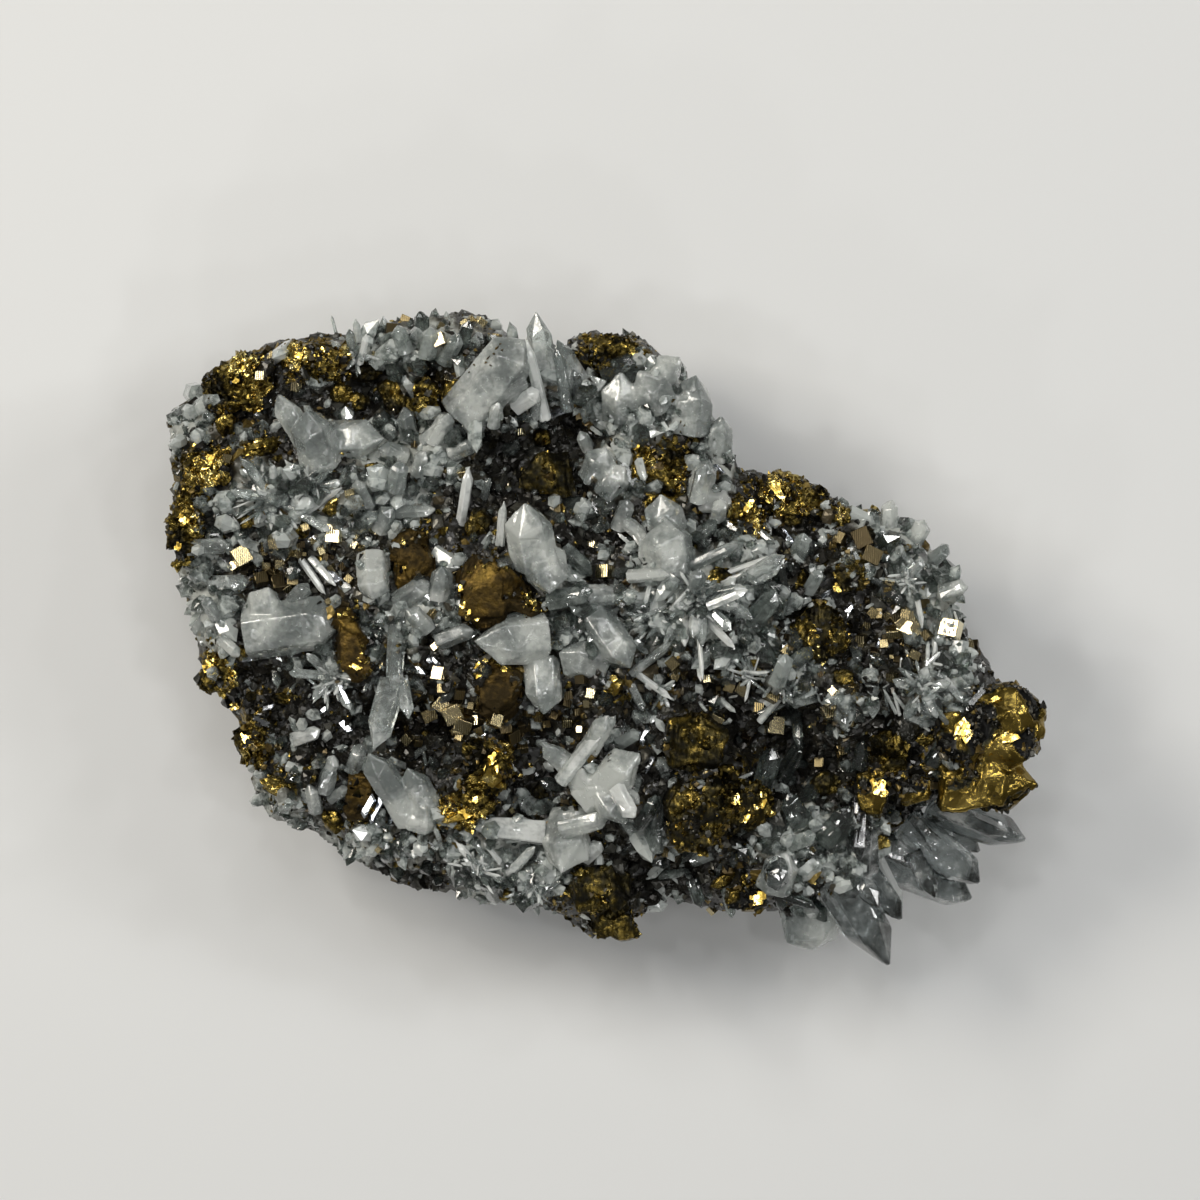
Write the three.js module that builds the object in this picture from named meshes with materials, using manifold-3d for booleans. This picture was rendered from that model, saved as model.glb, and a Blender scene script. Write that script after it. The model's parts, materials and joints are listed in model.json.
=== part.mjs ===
// Chalcopyrite with quartz and pyrite on a plate of vein rock.
//
// A hand-sized mineral specimen that lies on its sawn back with the crystal bed facing up. The plate is
// one lumpy piece of rock with its small grains and quartz points grown into it. The larger quartz
// crystals, chalcopyrite masses and pyrite cubes are pieces of their own. The root of each is cut to
// the rock's surface. Where two meet, the one that is laid out first keeps its shape: quartz, then
// pyrite, then chalcopyrite. A small gap is left all round each piece.
//
// Units are millimetres, +Z is up. The layout is drawn about the middle of the crystal bed, and the
// finished group is moved so that the origin is the centre of the part's box on its base.

import * as THREE from 'three';
import { ConvexGeometry } from 'three/addons/geometries/ConvexGeometry.js';
import { mergeVertices } from 'three/addons/utils/BufferGeometryUtils.js';
import Module from 'manifold-3d';

const wasm = await Module();
wasm.setup();

// ---- Driving dimensions ------------------------------------------------------------------------

const BED_HEIGHT = 27; // sawn base to the middle of the crystal bed
const BED_FALL = 6.5; // how far the bed drops towards the rim
const RIM_HEIGHT = 15.5; // level of the widest outline
const FLANK_HEIGHT = 7; // where the broken flank turns in towards the base
const BASE_SHARE = 0.8; // sawn base radius as a share of the outline
const RELIEF = 3; // height of the irregular lumps of the bed
const ROUGHNESS = 0.75; // how far the bed strays sideways
const BREAKAGE = 3.4; // depth of the broken faces of the flank
const SEAT_GAP = 0.35; // clearance between a crystal and what it grows on
const SECTORS = 46; // divisions of the rock around its axis

// Outline of the rock: its radius about the middle at every 7.5 degrees, counter-clockwise from +X.
const OUTLINE = [
  46.2, 46.0, 44.2, 40.3, 35.2, 33.5, 30.8, 29.4, 30.8, 32.8, 35.8, 38.5,
  39.2, 38.6, 41.3, 45.2, 46.5, 50.0, 54.6, 59.5, 61.8, 59.0, 57.0, 54.6,
  52.6, 49.6, 48.4, 47.6, 47.1, 42.8, 40.8, 38.8, 36.6, 36.0, 35.0, 35.2,
  37.5, 35.5, 33.8, 36.9, 39.8, 42.8, 44.0, 45.0, 46.6, 50.0, 54.4, 53.4,
];

// Hollows (negative) and swells (positive) of the bed: middle, radius and height.
const RELIEF_FORMS = [
  { at: [-21, -12.5], radius: 5, height: -8 }, // deep pocket below the stem
  { at: [22, -14], radius: 6, height: -8 }, // pocket of the south-east
  { at: [-29, 29.5], radius: 6, height: -4 }, // hollow of the north-west
  { at: [-5, 26], radius: 5, height: -3 },
  { at: [7, -31], radius: 4, height: -5 }, // notch in the south rim
  { at: [-34, -12], radius: 6, height: -3 },
  { at: [31, -1], radius: 4, height: -3 },
  { at: [-7, -14], radius: 4, height: -4 },
  { at: [-38, 17], radius: 7, height: 1.5 },
  { at: [-10, 4], radius: 12, height: 2.5 },
  { at: [11, 6], radius: 8, height: 2 },
  { at: [-16, 30], radius: 6, height: 1.5 },
  { at: [48, -14], radius: 7, height: 3 },
  { at: [10, -20], radius: 6, height: 1.5 },
];

// Flat faces broken off the flank: direction in plan and lean from upright, both in degrees, and how
// far the break stands in from the widest point of the outline.
const BREAKS = [
  { turn: 2, lean: 24, depth: 1 }, { turn: 38, lean: 34, depth: 3 }, { turn: 66, lean: 18, depth: 6 },
  { turn: 94, lean: 30, depth: 0.5 }, { turn: 122, lean: 22, depth: 1 }, { turn: 150, lean: 38, depth: 0 },
  { turn: 178, lean: 20, depth: 1.5 }, { turn: 204, lean: 32, depth: 2 }, { turn: 228, lean: 26, depth: 2.5 },
  { turn: 252, lean: 40, depth: 1.5 }, { turn: 276, lean: 24, depth: 1 }, { turn: 302, lean: 34, depth: 1 },
  { turn: 331, lean: 28, depth: 1.5 },
];
const BREAK_TOP = RIM_HEIGHT - 1; // level up to which the breaks reach on the outline

// ---- Finishes ----------------------------------------------------------------------------------

const finish = (color, roughness, metalness, more = {}) =>
  new THREE.MeshStandardMaterial({ color, roughness, metalness, flatShading: true, ...more });

const FINISHES = {
  rock: finish(0x55575a, 0.7, 0.1),
  quartz: finish(0xc9cdd1, 0.25, 0, { transparent: true, opacity: 0.85 }),
  chalcopyrite: finish(0xa87c2c, 0.38, 0.9),
  pyrite: finish(0xb8a678, 0.3, 0.9),
};

// ---- Numbers that repeat on every run ----------------------------------------------------------

function seeded(seed) {
  let state = (seed * 2654435761) >>> 0;
  return () => {
    state = (state + 0x6d2b79f5) >>> 0;
    let t = state;
    t = Math.imul(t ^ (t >>> 15), t | 1);
    t ^= t + Math.imul(t ^ (t >>> 7), t | 61);
    return ((t ^ (t >>> 14)) >>> 0) / 4294967296;
  };
}

const lattice = (x, y, z) => {
  const wave = Math.sin(x * 127.1 + y * 311.7 + z * 74.7) * 43758.5453;
  return wave - Math.floor(wave);
};

// Smooth noise from -1 to 1 whose lumps are about one unit across.
function lumps(x, y, z) {
  const [ix, iy, iz] = [Math.floor(x), Math.floor(y), Math.floor(z)];
  const ease = (t) => t * t * (3 - 2 * t);
  const [fx, fy, fz] = [ease(x - ix), ease(y - iy), ease(z - iz)];
  const mix = (a, b, t) => a + (b - a) * t;
  const along = (j, k) => mix(lattice(ix, iy + j, iz + k), lattice(ix + 1, iy + j, iz + k), fx);
  return 2 * mix(mix(along(0, 0), along(1, 0), fy), mix(along(0, 1), along(1, 1), fy), fz) - 1;
}

// ---- Solids ------------------------------------------------------------------------------------

function toSolid(geometry) {
  const bare = geometry.clone();
  bare.deleteAttribute('normal');
  bare.deleteAttribute('uv');
  const merged = mergeVertices(bare, 1e-4);
  const corners = merged.index.array;
  const triangles = [];
  for (let i = 0; i < corners.length; i += 3) {
    const [a, b, c] = corners.slice(i, i + 3);
    if (a !== b && b !== c && c !== a) triangles.push(a, b, c);
  }
  const make = (triVerts) =>
    new wasm.Manifold(
      new wasm.Mesh({
        numProp: 3,
        vertProperties: new Float32Array(merged.attributes.position.array),
        triVerts: new Uint32Array(triVerts),
      }),
    );
  const solid = make(triangles);
  return solid.volume() > 0 ? solid : make(triangles.reverse());
}

function toGeometry(solid) {
  const mesh = solid.getMesh();
  const geometry = new THREE.BufferGeometry();
  geometry.setAttribute('position', new THREE.BufferAttribute(mesh.vertProperties.slice(), 3));
  geometry.setIndex(new THREE.BufferAttribute(mesh.triVerts.slice(), 1));
  geometry.computeVertexNormals();
  return geometry;
}

const joined = (solids) => solids.reduce((sum, solid) => sum.add(solid));
const largest = (solid) => solid.decompose().sort((a, b) => b.volume() - a.volume())[0];

// ---- The rock ----------------------------------------------------------------------------------

const DEGREE = Math.PI / 180;
const OUTLINE_STEP = 360 / OUTLINE.length;

function outlineRadius(angle) {
  const turn = (((angle / DEGREE) % 360) + 360) % 360;
  const place = turn / OUTLINE_STEP;
  const index = Math.floor(place);
  const pick = (offset) => OUTLINE[(index + offset + OUTLINE.length) % OUTLINE.length];
  const [before, from, to, after] = [pick(-1), pick(0), pick(1), pick(2)];
  const t = place - index;
  const bend = 2 * before - 5 * from + 4 * to - after;
  return from + 0.5 * t * (to - before + t * (bend + t * (3 * (from - to) + after - before)));
}

function bedHeight(x, y) {
  const share = Math.min(1, Math.hypot(x, y) / outlineRadius(Math.atan2(y, x)));
  let height = BED_HEIGHT - BED_FALL * share ** 3;
  for (const form of RELIEF_FORMS) {
    const away = Math.hypot(x - form.at[0], y - form.at[1]) / form.radius;
    height += form.height * Math.exp(-away * away);
  }
  return height + RELIEF * (0.6 * lumps(x / 9, y / 9, 3) + 0.4 * lumps(x / 4, y / 4, 7));
}

// The rock's section from the middle of the bed over the rim to the middle of the base: share of the
// outline's radius, and level. A level of null follows the bed.
const SECTION = [
  [0, null], [0.12, null], [0.24, null], [0.36, null], [0.48, null], [0.6, null],
  [0.72, null], [0.83, null], [0.93, null],
  [1, RIM_HEIGHT], [0.99, (RIM_HEIGHT + FLANK_HEIGHT) / 2], [0.96, FLANK_HEIGHT],
  [0.9, FLANK_HEIGHT / 2], [BASE_SHARE, 0], [0, 0],
];

function rockBody(grow = 0) {
  const profile = SECTION.map(([share, level], i) => new THREE.Vector2(share, level ?? BED_HEIGHT + i));
  const geometry = new THREE.LatheGeometry(profile, SECTORS);
  geometry.rotateX(Math.PI / 2);
  const places = geometry.attributes.position;
  for (let i = 0; i < places.count; i += 1) {
    const share = Math.hypot(places.getX(i), places.getY(i));
    const level = places.getZ(i);
    const angle = share < 1e-6 ? 0 : Math.atan2(places.getY(i), places.getX(i));
    const reach = share * outlineRadius(angle);
    let [x, y] = [reach * Math.cos(angle), reach * Math.sin(angle)];
    const onBed = level >= BED_HEIGHT;
    const onBase = level < 1e-6;
    const stray = share < 1e-6 ? 0 : ROUGHNESS;
    const [wx, wy, wz] = [x / 5, y / 5, level / 5];
    x += stray * lumps(wx, wy, wz + 11);
    y += stray * lumps(wx + 23, wy, wz);
    const broken = onBed || share === 1 ? 0 : BREAKAGE * share * Math.abs(lumps(x / 11, y / 11, level / 7));
    const z = onBed ? bedHeight(x, y) : onBase ? 0 : level + 1.6 * lumps(wx, wy + 17, wz);
    const spread = 1 + (share * grow - broken) / Math.max(reach, 1);
    places.setXYZ(i, x * spread, y * spread, onBed ? z + grow : z);
  }
  return toSolid(geometry);
}

// What falls away where the flank is broken: one big block outside each flat face.
function brokenPieces() {
  const reachTo = (turn) =>
    Math.max(...OUTLINE.map((radius, i) => radius * Math.cos(turn - i * OUTLINE_STEP * DEGREE)));
  const block = 200;
  return joined(
    BREAKS.map(({ turn, lean, depth }) => {
      const angle = turn * DEGREE;
      const geometry = new THREE.BoxGeometry(block, block, block);
      geometry.translate(block / 2, 0, -block / 2);
      geometry.rotateY(lean * DEGREE);
      geometry.translate(reachTo(angle) - depth * 0.5, 0, BREAK_TOP - depth);
      geometry.rotateZ(angle);
      return toSolid(geometry);
    }),
  );
}

// ---- Crystals ----------------------------------------------------------------------------------

// A crystal stands along +Y, with its broad face to +Z, until it is aimed by its heading in plan and
// its rise above level. The broad face then looks up, but for the spin about the crystal's length.
function aim(geometry, { at, z, heading, rise, spin }) {
  const [turn, lift] = [heading * DEGREE, rise * DEGREE];
  const way = new THREE.Vector3(
    Math.cos(turn) * Math.cos(lift),
    Math.sin(turn) * Math.cos(lift),
    Math.sin(lift),
  );
  const across = new THREE.Vector3(Math.sin(turn), -Math.cos(turn), 0);
  const top = new THREE.Vector3().crossVectors(across, way);
  geometry.rotateY(spin * DEGREE);
  geometry.applyMatrix4(new THREE.Matrix4().makeBasis(across, way, top));
  geometry.translate(at[0], at[1], z);
  return geometry;
}

// Six-sided quartz prism with a six-sided point whose faces are large and small by turns.
const SPIN_RANGE = 12; // degrees either way
function quartzPrism(crystal, grow = 0) {
  const { at, length, width, point = 0.8, flat = 0.86, taper = 0.93 } = crystal;
  const spin = crystal.spin ?? SPIN_RANGE * (2 * lattice(...at, length) - 1);
  const radius = width / 2 + grow;
  const pointHeight = Math.min(point * width, 0.6 * length);
  const shoulder = length - pointHeight;
  const profile = [
    new THREE.Vector2(0, -grow),
    new THREE.Vector2(radius, -grow),
    new THREE.Vector2(radius * taper, shoulder),
    new THREE.Vector2(0, length + grow * 1.6),
  ];
  const geometry = new THREE.LatheGeometry(profile, 6);
  const places = geometry.attributes.position;
  for (let i = 0; i < places.count; i += 1) {
    const [x, y, z] = [places.getX(i), places.getY(i), places.getZ(i)];
    const onShoulder = Math.hypot(x, z) > 1e-6 && y > 0;
    const step = onShoulder ? 0.2 * pointHeight * Math.cos(3 * Math.atan2(x, z)) : 0;
    places.setXYZ(i, x, y + step, z);
  }
  geometry.rotateY(30 * DEGREE);
  geometry.scale(1, 1, flat + (grow * (1 - flat)) / radius);
  const root = crystal.z ?? bedHeight(...at) - (crystal.sink ?? 0.1 * width - 0.5);
  return toSolid(aim(geometry, { ...crystal, z: root, spin }));
}

// A massive lump: the hull of points spread over a squared-off ellipsoid, a chunk of flat faces.
function hullChunk(chunk, grow = 0) {
  const { at, size, corners = 13, yaw = 0, square = 0.75, seed = 1 } = chunk;
  const random = seeded(seed);
  const squared = (v) => Math.sign(v) * Math.abs(v) ** square;
  const points = [];
  for (let i = 0; i < corners; i += 1) {
    const up = 1 - (2 * (i + 0.5)) / corners;
    const turn = i * 2.39996 + random() * 0.9;
    const level = Math.sqrt(1 - up * up);
    const swell = 0.84 + 0.16 * random();
    const [x, y] = [level * Math.cos(turn), level * Math.sin(turn)];
    points.push(new THREE.Vector3(squared(x), squared(y), squared(up)).multiplyScalar(swell));
  }
  for (const point of points) point.multiply(new THREE.Vector3(...size));
  const smallest = Math.min(...size);
  const hull = new ConvexGeometry(points);
  const share = 1 + (grow * 1.7) / smallest;
  hull.scale(share, share, share);
  hull.rotateZ(yaw * DEGREE);
  hull.translate(at[0], at[1], chunk.z ?? bedHeight(...at) + (chunk.lift ?? 0.2) * size[2]);
  return toSolid(hull);
}

function pyriteCube({ at, size, yaw = 0, tilt = 20, lift = 0.25 }, grow = 0) {
  const side = size + 2 * grow;
  const geometry = new THREE.BoxGeometry(side, side, side);
  geometry.rotateX(tilt * DEGREE);
  geometry.rotateZ(yaw * DEGREE);
  geometry.translate(at[0], at[1], bedHeight(...at) + lift * size);
  return toSolid(geometry);
}

const star = (at, width, rays) =>
  rays.map(([heading, rise, length]) => ({ at, heading, rise, length, width, point: 0.7, sink: -0.6 }));

// ---- Layout: quartz. Crystals of one name have grown together. ----------------------------------

const QUARTZ = {
  quartz_crown: [
    { at: [-17.2, 27.8], heading: 51, rise: 20, length: 13.4, width: 7, point: 0.4, flat: 0.8 },
    { at: [-16.2, 28], heading: -72, rise: 28, length: 4, width: 3.8 },
    { at: [-13.2, 29.9], heading: -80, rise: 30, length: 4, width: 2 },
    { at: [-11.6, 31.6], heading: 20, rise: 50, length: 4, width: 5 },
  ],
  quartz_fan_north: [
    { at: [-6.8, 32.6], heading: 98, rise: 14, length: 9, width: 3.4 },
    { at: [-2, 32], heading: 121, rise: 18, length: 7, width: 2.2 },
    { at: [-1.8, 31.2], heading: 25, rise: 42, length: 4, width: 3.6 },
    { at: [-5.4, 31.2], heading: 60, rise: 35, length: 4.5, width: 4.1 },
    { at: [-4.6, 32], heading: 112, rise: 26, length: 6, width: 2 },
  ],
  quartz_pair_northwest: [
    { at: [-36, 23.6], heading: 121, rise: 12, length: 8.8, width: 3.6 },
    { at: [-34.7, 22.2], heading: 106, rise: 36, length: 8.4, width: 5.8, point: 0.5 },
    { at: [-33.8, 24.8], heading: 4, rise: 16, length: 7.2, width: 5.6, point: 0.5 },
  ],
  quartz_pair_centre: [
    { at: [-7.9, 9.3], heading: 101, rise: 27, length: 9, width: 6.3, point: 0.5 },
    { at: [-7.1, 10.7], heading: -80, rise: 36, length: 6.2, width: 5.8, point: 0.4 },
  ],
  quartz_stack_east: [
    { at: [9.1, 7.3], heading: 96, rise: 18, length: 8.4, width: 6.6, point: 0.35 },
    { at: [8.5, 13.6], heading: 102, rise: 22, length: 5.2, width: 5.2, point: 0.4 },
    { at: [7.2, 9.8], heading: 128, rise: 26, length: 4.6, width: 3.6 },
    { at: [9, 8.2], heading: 181, rise: 22, length: 5.6, width: 3.4, point: 0.5 },
  ],
  quartz_cluster_northeast: [
    { at: [11, 26.2], heading: 82, rise: 20, length: 7.6, width: 6, point: 0.5 },
    { at: [7.9, 29.8], heading: 130, rise: 28, length: 5.8, width: 6.4, point: 0.45 },
    { at: [6.4, 31.6], heading: 46, rise: 20, length: 5.6, width: 4.6, point: 0.5 },
    { at: [3.2, 28], heading: 96, rise: 26, length: 6.4, width: 6.1, point: 0.45 },
    { at: [5.2, 28.4], heading: -42, rise: 28, length: 4.4, width: 4.1, sink: 0.4 },
    { at: [2.6, 27.4], heading: -24, rise: 26, length: 4.4, width: 3.6, sink: 0.4 },
  ],
  quartz_block_north: [
    { at: [-0.6, 20], heading: 72, rise: 32, length: 5.2, width: 4.7, point: 0.4 },
    { at: [0.5, 18.6], heading: 50, rise: 28, length: 4.8, width: 4.4, point: 0.4 },
  ],
  quartz_prism_northeast: [
    { at: [14.6, 22.6], heading: 84, rise: 24, length: 6, width: 3.8, point: 0.4, sink: -0.4 },
  ],
  quartz_chips_northeast: [
    { at: [12.1, 17.8], heading: 72, rise: 24, length: 5.4, width: 3.5, point: 0.4 },
    { at: [12.4, 17], heading: 4, rise: 20, length: 4.4, width: 3.5, point: 0.25, sink: 0.4 },
  ],
  quartz_milky_centre: [
    { at: [-7.1, 0.6], heading: 185, rise: 22, length: 9.4, width: 7.2, point: 0.6 },
    { at: [-7.3, -2.4], heading: -87, rise: 18, length: 7.4, width: 5, point: 0.5 },
  ],
  quartz_blades_centre: [
    { at: [-1.7, 4.4], heading: -55, rise: 18, length: 10.2, width: 5.1, point: 0.5 },
    { at: [3.6, 5.6], heading: 178, rise: 14, length: 7.4, width: 2.6, point: 0.6 },
    { at: [0.4, -3.4], heading: 162, rise: 22, length: 6.4, width: 5.4, point: 0.4 },
    { at: [2.4, -3.4], heading: 38, rise: 18, length: 8.6, width: 2.5, sink: 0.4 },
  ],
  quartz_spray_south: [
    { at: [-3.1, -16], heading: 58, rise: 38, length: 10.2, width: 2.6 },
    { at: [-2, -16.1], heading: 60, rise: 30, length: 9.2, width: 1.4 },
    { at: [-2, -20], heading: 40, rise: 24, length: 10, width: 5.8, point: 0.5 },
    { at: [-2.8, -16.9], heading: 137, rise: 24, length: 7, width: 2.9 },
    { at: [0.6, -19.2], heading: -56, rise: 22, length: 5, width: 4.3, point: 0.5 },
    { at: [-2.4, -18.2], heading: 85, rise: 55, length: 4, width: 3.8 },
  ],
  quartz_knob_south: [
    { at: [-5.4, -22.8], heading: 6, rise: 28, length: 6.4, width: 5, point: 0.5 },
    { at: [-4, -23.2], heading: -98, rise: 32, length: 7.2, width: 6.7, point: 0.5 },
  ],
  quartz_prism_south: [
    { at: [-8.6, -23.9], heading: 176, rise: 18, length: 8, width: 4.2, point: 0.5 },
  ],
  quartz_twins_southwest: [
    { at: [-23.6, -22.6], heading: 122, rise: 26, length: 11.4, width: 4.2, point: 0.6 },
    { at: [-21.4, -21.5], heading: 116, rise: 26, length: 7, width: 4.2, point: 0.55 },
    { at: [-22.6, -23], heading: 70, rise: 50, length: 3.6, width: 4.8 },
  ],
  quartz_stem_west: [
    { at: [-25.3, 2.3], heading: -93, rise: 8, length: 9, width: 2.4, sink: -0.4 },
    { at: [-25.8, -5], heading: -106, rise: 6, length: 9.2, width: 3.6, sink: -0.8 },
    { at: [-25, -4.6], heading: -78, rise: 10, length: 5.6, width: 2.1, sink: -0.6 },
    { at: [-25.6, 2.8], heading: -90, rise: -50, length: 4, width: 2.6, sink: -0.8 },
  ],
  quartz_log_west: [
    { at: [-44.2, 0.8], heading: 8, rise: 14, length: 13, width: 7.7, point: 0.45, flat: 0.8 },
    { at: [-42.4, 3], heading: 75, rise: 40, length: 5, width: 5, point: 0.5 },
  ],
  quartz_prism_west: [
    { at: [-49, 6.8], heading: 3, rise: 14, length: 5.4, width: 2.6, point: 0.5, sink: -0.9 },
  ],
  quartz_round_west: [
    { at: [-28.4, 10.6], heading: -88, rise: 30, length: 6.4, width: 4.4, point: 0.35, sink: -1 },
  ],
  quartz_fang_southeast: [
    { at: [29.6, -29.8], heading: -59, rise: 2, length: 13.8, width: 6.6, point: 0.85, z: 19.5 },
    { at: [33, -29.2], heading: 92, rise: 38, length: 8.4, width: 4.7, point: 0.4, z: 19.5 },
    { at: [33.6, -29.4], heading: -54, rise: 8, length: 8, width: 3.7, z: 19 },
    { at: [31.4, -28.4], heading: -56, rise: 24, length: 7.6, width: 3.6, z: 19 },
  ],
  quartz_block_southeast: [
    { at: [21.8, -31.3], heading: 72, rise: 30, length: 5.8, width: 4.9, point: 0.4 },
  ],
  quartz_prisms_east_rim: [
    { at: [41.4, -20.9], heading: -20, rise: 4, length: 13.8, width: 5, z: 16.4 },
    { at: [41, -22], heading: -35, rise: -2, length: 9.2, width: 3.2, z: 16.2 },
  ],
  quartz_prisms_southeast_rim: [
    { at: [38.6, -23], heading: -40, rise: 8, length: 12.6, width: 5.2, point: 0.6, z: 17.6 },
    { at: [35, -28.2], heading: -21, rise: 2, length: 13.4, width: 4.6, point: 0.6, z: 15 },
    { at: [35.8, -25.8], heading: -30, rise: 6, length: 9.8, width: 4.6, z: 16 },
  ],
  quartz_bundle_east: [
    { at: [17.3, 7.2], heading: 30, rise: 24, length: 7.4, width: 2.2 },
    { at: [17.7, 6.4], heading: 31, rise: 20, length: 6.4, width: 1.6 },
  ],
  quartz_prism_far_east: [
    { at: [33.9, -3.8], heading: -88, rise: 24, length: 6.8, width: 2.1, sink: 0.4 },
  ],
  quartz_star_east: star([12.4, 5.2], 1.8, [
    [12, 22, 6.6], [-46, 20, 6.2], [-100, 26, 5.6], [-160, 24, 4.6], [-12, 34, 6], [60, 60, 3.4],
  ]),
  quartz_star_far_east: star([40.3, -6.3], 1.7, [
    [160, 22, 4.4], [-122, 24, 4.8], [-62, 22, 4.4], [14, 22, 4.2], [80, 35, 4],
  ]),
  quartz_star_west: star([-41, 17.8], 1.3, [
    [126, 24, 6.6], [86, 32, 5], [56, 26, 5.8], [172, 24, 5.6], [12, 16, 9.6], [-30, 18, 9], [-92, 30, 4],
  ]),
  quartz_star_southwest: star([-33.6, -4.6], 1.3, [
    [174, 20, 5.8], [-60, 18, 5.2], [136, 24, 4.8], [-130, 24, 4.2], [70, 55, 3.4],
  ]),
};

const QUARTZ_LUMPS = {
  quartz_foot_southeast: [{ at: [26.4, -35.4], size: [4.8, 4.2, 3.2], corners: 17, seed: 51, z: 14 }],
};

// ---- Layout: pyrite -----------------------------------------------------------------------------

const PYRITE = {
  pyrite_cubes_centre: [
    { at: [-18.6, -9], size: 2.4, yaw: 25, tilt: 24 },
    { at: [-16.9, -10.4], size: 2, yaw: -20, tilt: 35 },
    { at: [-20, -8], size: 1.8, yaw: 50, tilt: 15 },
  ],
  pyrite_cubes_east: [
    { at: [38.2, 2.4], size: 2.6, yaw: 35, tilt: 28 },
    { at: [36.8, 0.9], size: 2, yaw: 5, tilt: 40 },
  ],
};

// ---- Layout: chalcopyrite -------------------------------------------------------------------------

const CHALCOPYRITE = {
  chalcopyrite_east: [
    { at: [50.2, -11], size: [6.3, 7.2, 4.4], corners: 16, seed: 2 },
    { at: [48, -18.2], size: [7.4, 4.4, 4], corners: 14, yaw: 12, seed: 3 },
    { at: [45.4, -12.4], size: [4.2, 4.6, 3.4], seed: 4 },
  ],
  chalcopyrite_southeast: [
    { at: [34.6, -19.2], size: [3.4, 3.7, 2.8], corners: 11, seed: 5 },
    { at: [38.8, -18.6], size: [3.9, 3, 2.6], corners: 11, seed: 6 },
  ],
  chalcopyrite_wedge_east: [{ at: [35.9, -13], size: [2.9, 2.8, 2.2], corners: 9, seed: 7 }],
  chalcopyrite_dome_east: [{ at: [26.8, 0.6], size: [4.6, 5.3, 3.8], corners: 15, seed: 8, lift: 0.4 }],
  chalcopyrite_small_east: [{ at: [31.3, 8.2], size: [3, 3.5, 2.4], corners: 11, seed: 9 }],
  chalcopyrite_rim_northeast: [
    { at: [23.4, 18.2], size: [5.1, 3.4, 3.2], yaw: -18, corners: 14, seed: 10 },
    { at: [28.6, 15.8], size: [3, 2.6, 2.4], corners: 11, seed: 11 },
  ],
  chalcopyrite_ridge_east: [{ at: [18.6, 14.6], size: [3.1, 4.2, 2.8], seed: 12 }],
  chalcopyrite_patch_north: [{ at: [7.8, 20.8], size: [6, 4.2, 2.2], corners: 16, seed: 13 }],
  chalcopyrite_rim_north: [{ at: [1.6, 36], size: [5.8, 3, 3.2], yaw: -8, corners: 14, seed: 14 }],
  chalcopyrite_brown_north: [{ at: [-6.8, 20.4], size: [4.9, 3.9, 2.8], seed: 15 }],
  chalcopyrite_amber_centre: [
    { at: [-14, 6.4], size: [5.3, 5.6, 3.6], corners: 14, seed: 16 },
    { at: [-10.2, 4.6], size: [3.7, 3.5, 3], corners: 11, seed: 17 },
  ],
  chalcopyrite_amber_west: [{ at: [-23, 9.6], size: [4, 4.9, 3], yaw: 15, seed: 18 }],
  chalcopyrite_rim_northwest: [
    { at: [-45.4, 32], size: [5.6, 4.9, 2.5], corners: 14, yaw: 20, seed: 19 },
  ],
  chalcopyrite_crest_northwest: [{ at: [-36, 35.2], size: [5.2, 3.2, 2.3], corners: 14, seed: 20 }],
  chalcopyrite_block_north: [{ at: [-21.6, 30.4], size: [2.7, 2.9, 2.5], square: 0.45, seed: 21 }],
  chalcopyrite_rim_west: [
    { at: [-49, 21], size: [4.2, 3.8, 2.5], seed: 22 },
    { at: [-51.8, 14.4], size: [3, 6.5, 2.5], corners: 14, seed: 23 },
  ],
  chalcopyrite_stem_west: [{ at: [-30.9, -0.6], size: [2.8, 5.6, 2.8], yaw: 12, seed: 24 }],
  chalcopyrite_rim_southwest: [{ at: [-48.1, -4.1], size: [3.1, 3.9, 2.6], seed: 25 }],
  chalcopyrite_lower_southwest: [
    { at: [-43.4, -13], size: [3.5, 4.4, 2.8], yaw: 25, seed: 26 },
  ],
  chalcopyrite_amber_southwest: [{ at: [-29.8, -19.8], size: [3, 4.2, 2.8], seed: 27 }],
  chalcopyrite_block_south: [
    { at: [-14, -15.8], size: [3.9, 4.4, 3.8], square: 0.45, corners: 14, yaw: 6, seed: 28 },
    { at: [-16.8, -20.8], size: [5.1, 3.5, 3.2], yaw: 15, seed: 29 },
  ],
  chalcopyrite_knob_centre: [{ at: [-12.6, -5.6], size: [4.3, 5.2, 3.6], corners: 14, seed: 30 }],
  chalcopyrite_sphenoid: [{ at: [1.9, -6], size: [2.2, 2.7, 2.2], corners: 7, seed: 31, lift: 0.4 }],
  chalcopyrite_olive_south: [{ at: [12, -12.8], size: [4.5, 4.9, 3.6], corners: 14, seed: 32 }],
  chalcopyrite_mass_south: [
    { at: [12.4, -22], size: [5.1, 5.6, 2.7], corners: 14, seed: 33 },
    { at: [17.2, -21], size: [4.4, 4.9, 2.6], seed: 34 },
  ],
  chalcopyrite_foot_south: [
    { at: [-0.2, -31.6], size: [5.1, 4.2, 3.6], corners: 14, seed: 35 },
    { at: [1.4, -35.4], size: [4.3, 3.3, 3.2], seed: 36 },
  ],
  chalcopyrite_edge_south: [{ at: [18.6, -32.4], size: [3.7, 2.6, 2.4], corners: 11, seed: 37 }],
};

// ---- Small crystals that are one with the rock ----------------------------------------------------

const GRAIN_COUNT = 34;
const GRAIN_CLEAR = 1.1; // room kept between a grain and a piece of its own
const GRAIN_WIDTH = [1.7, 3.2];

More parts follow.
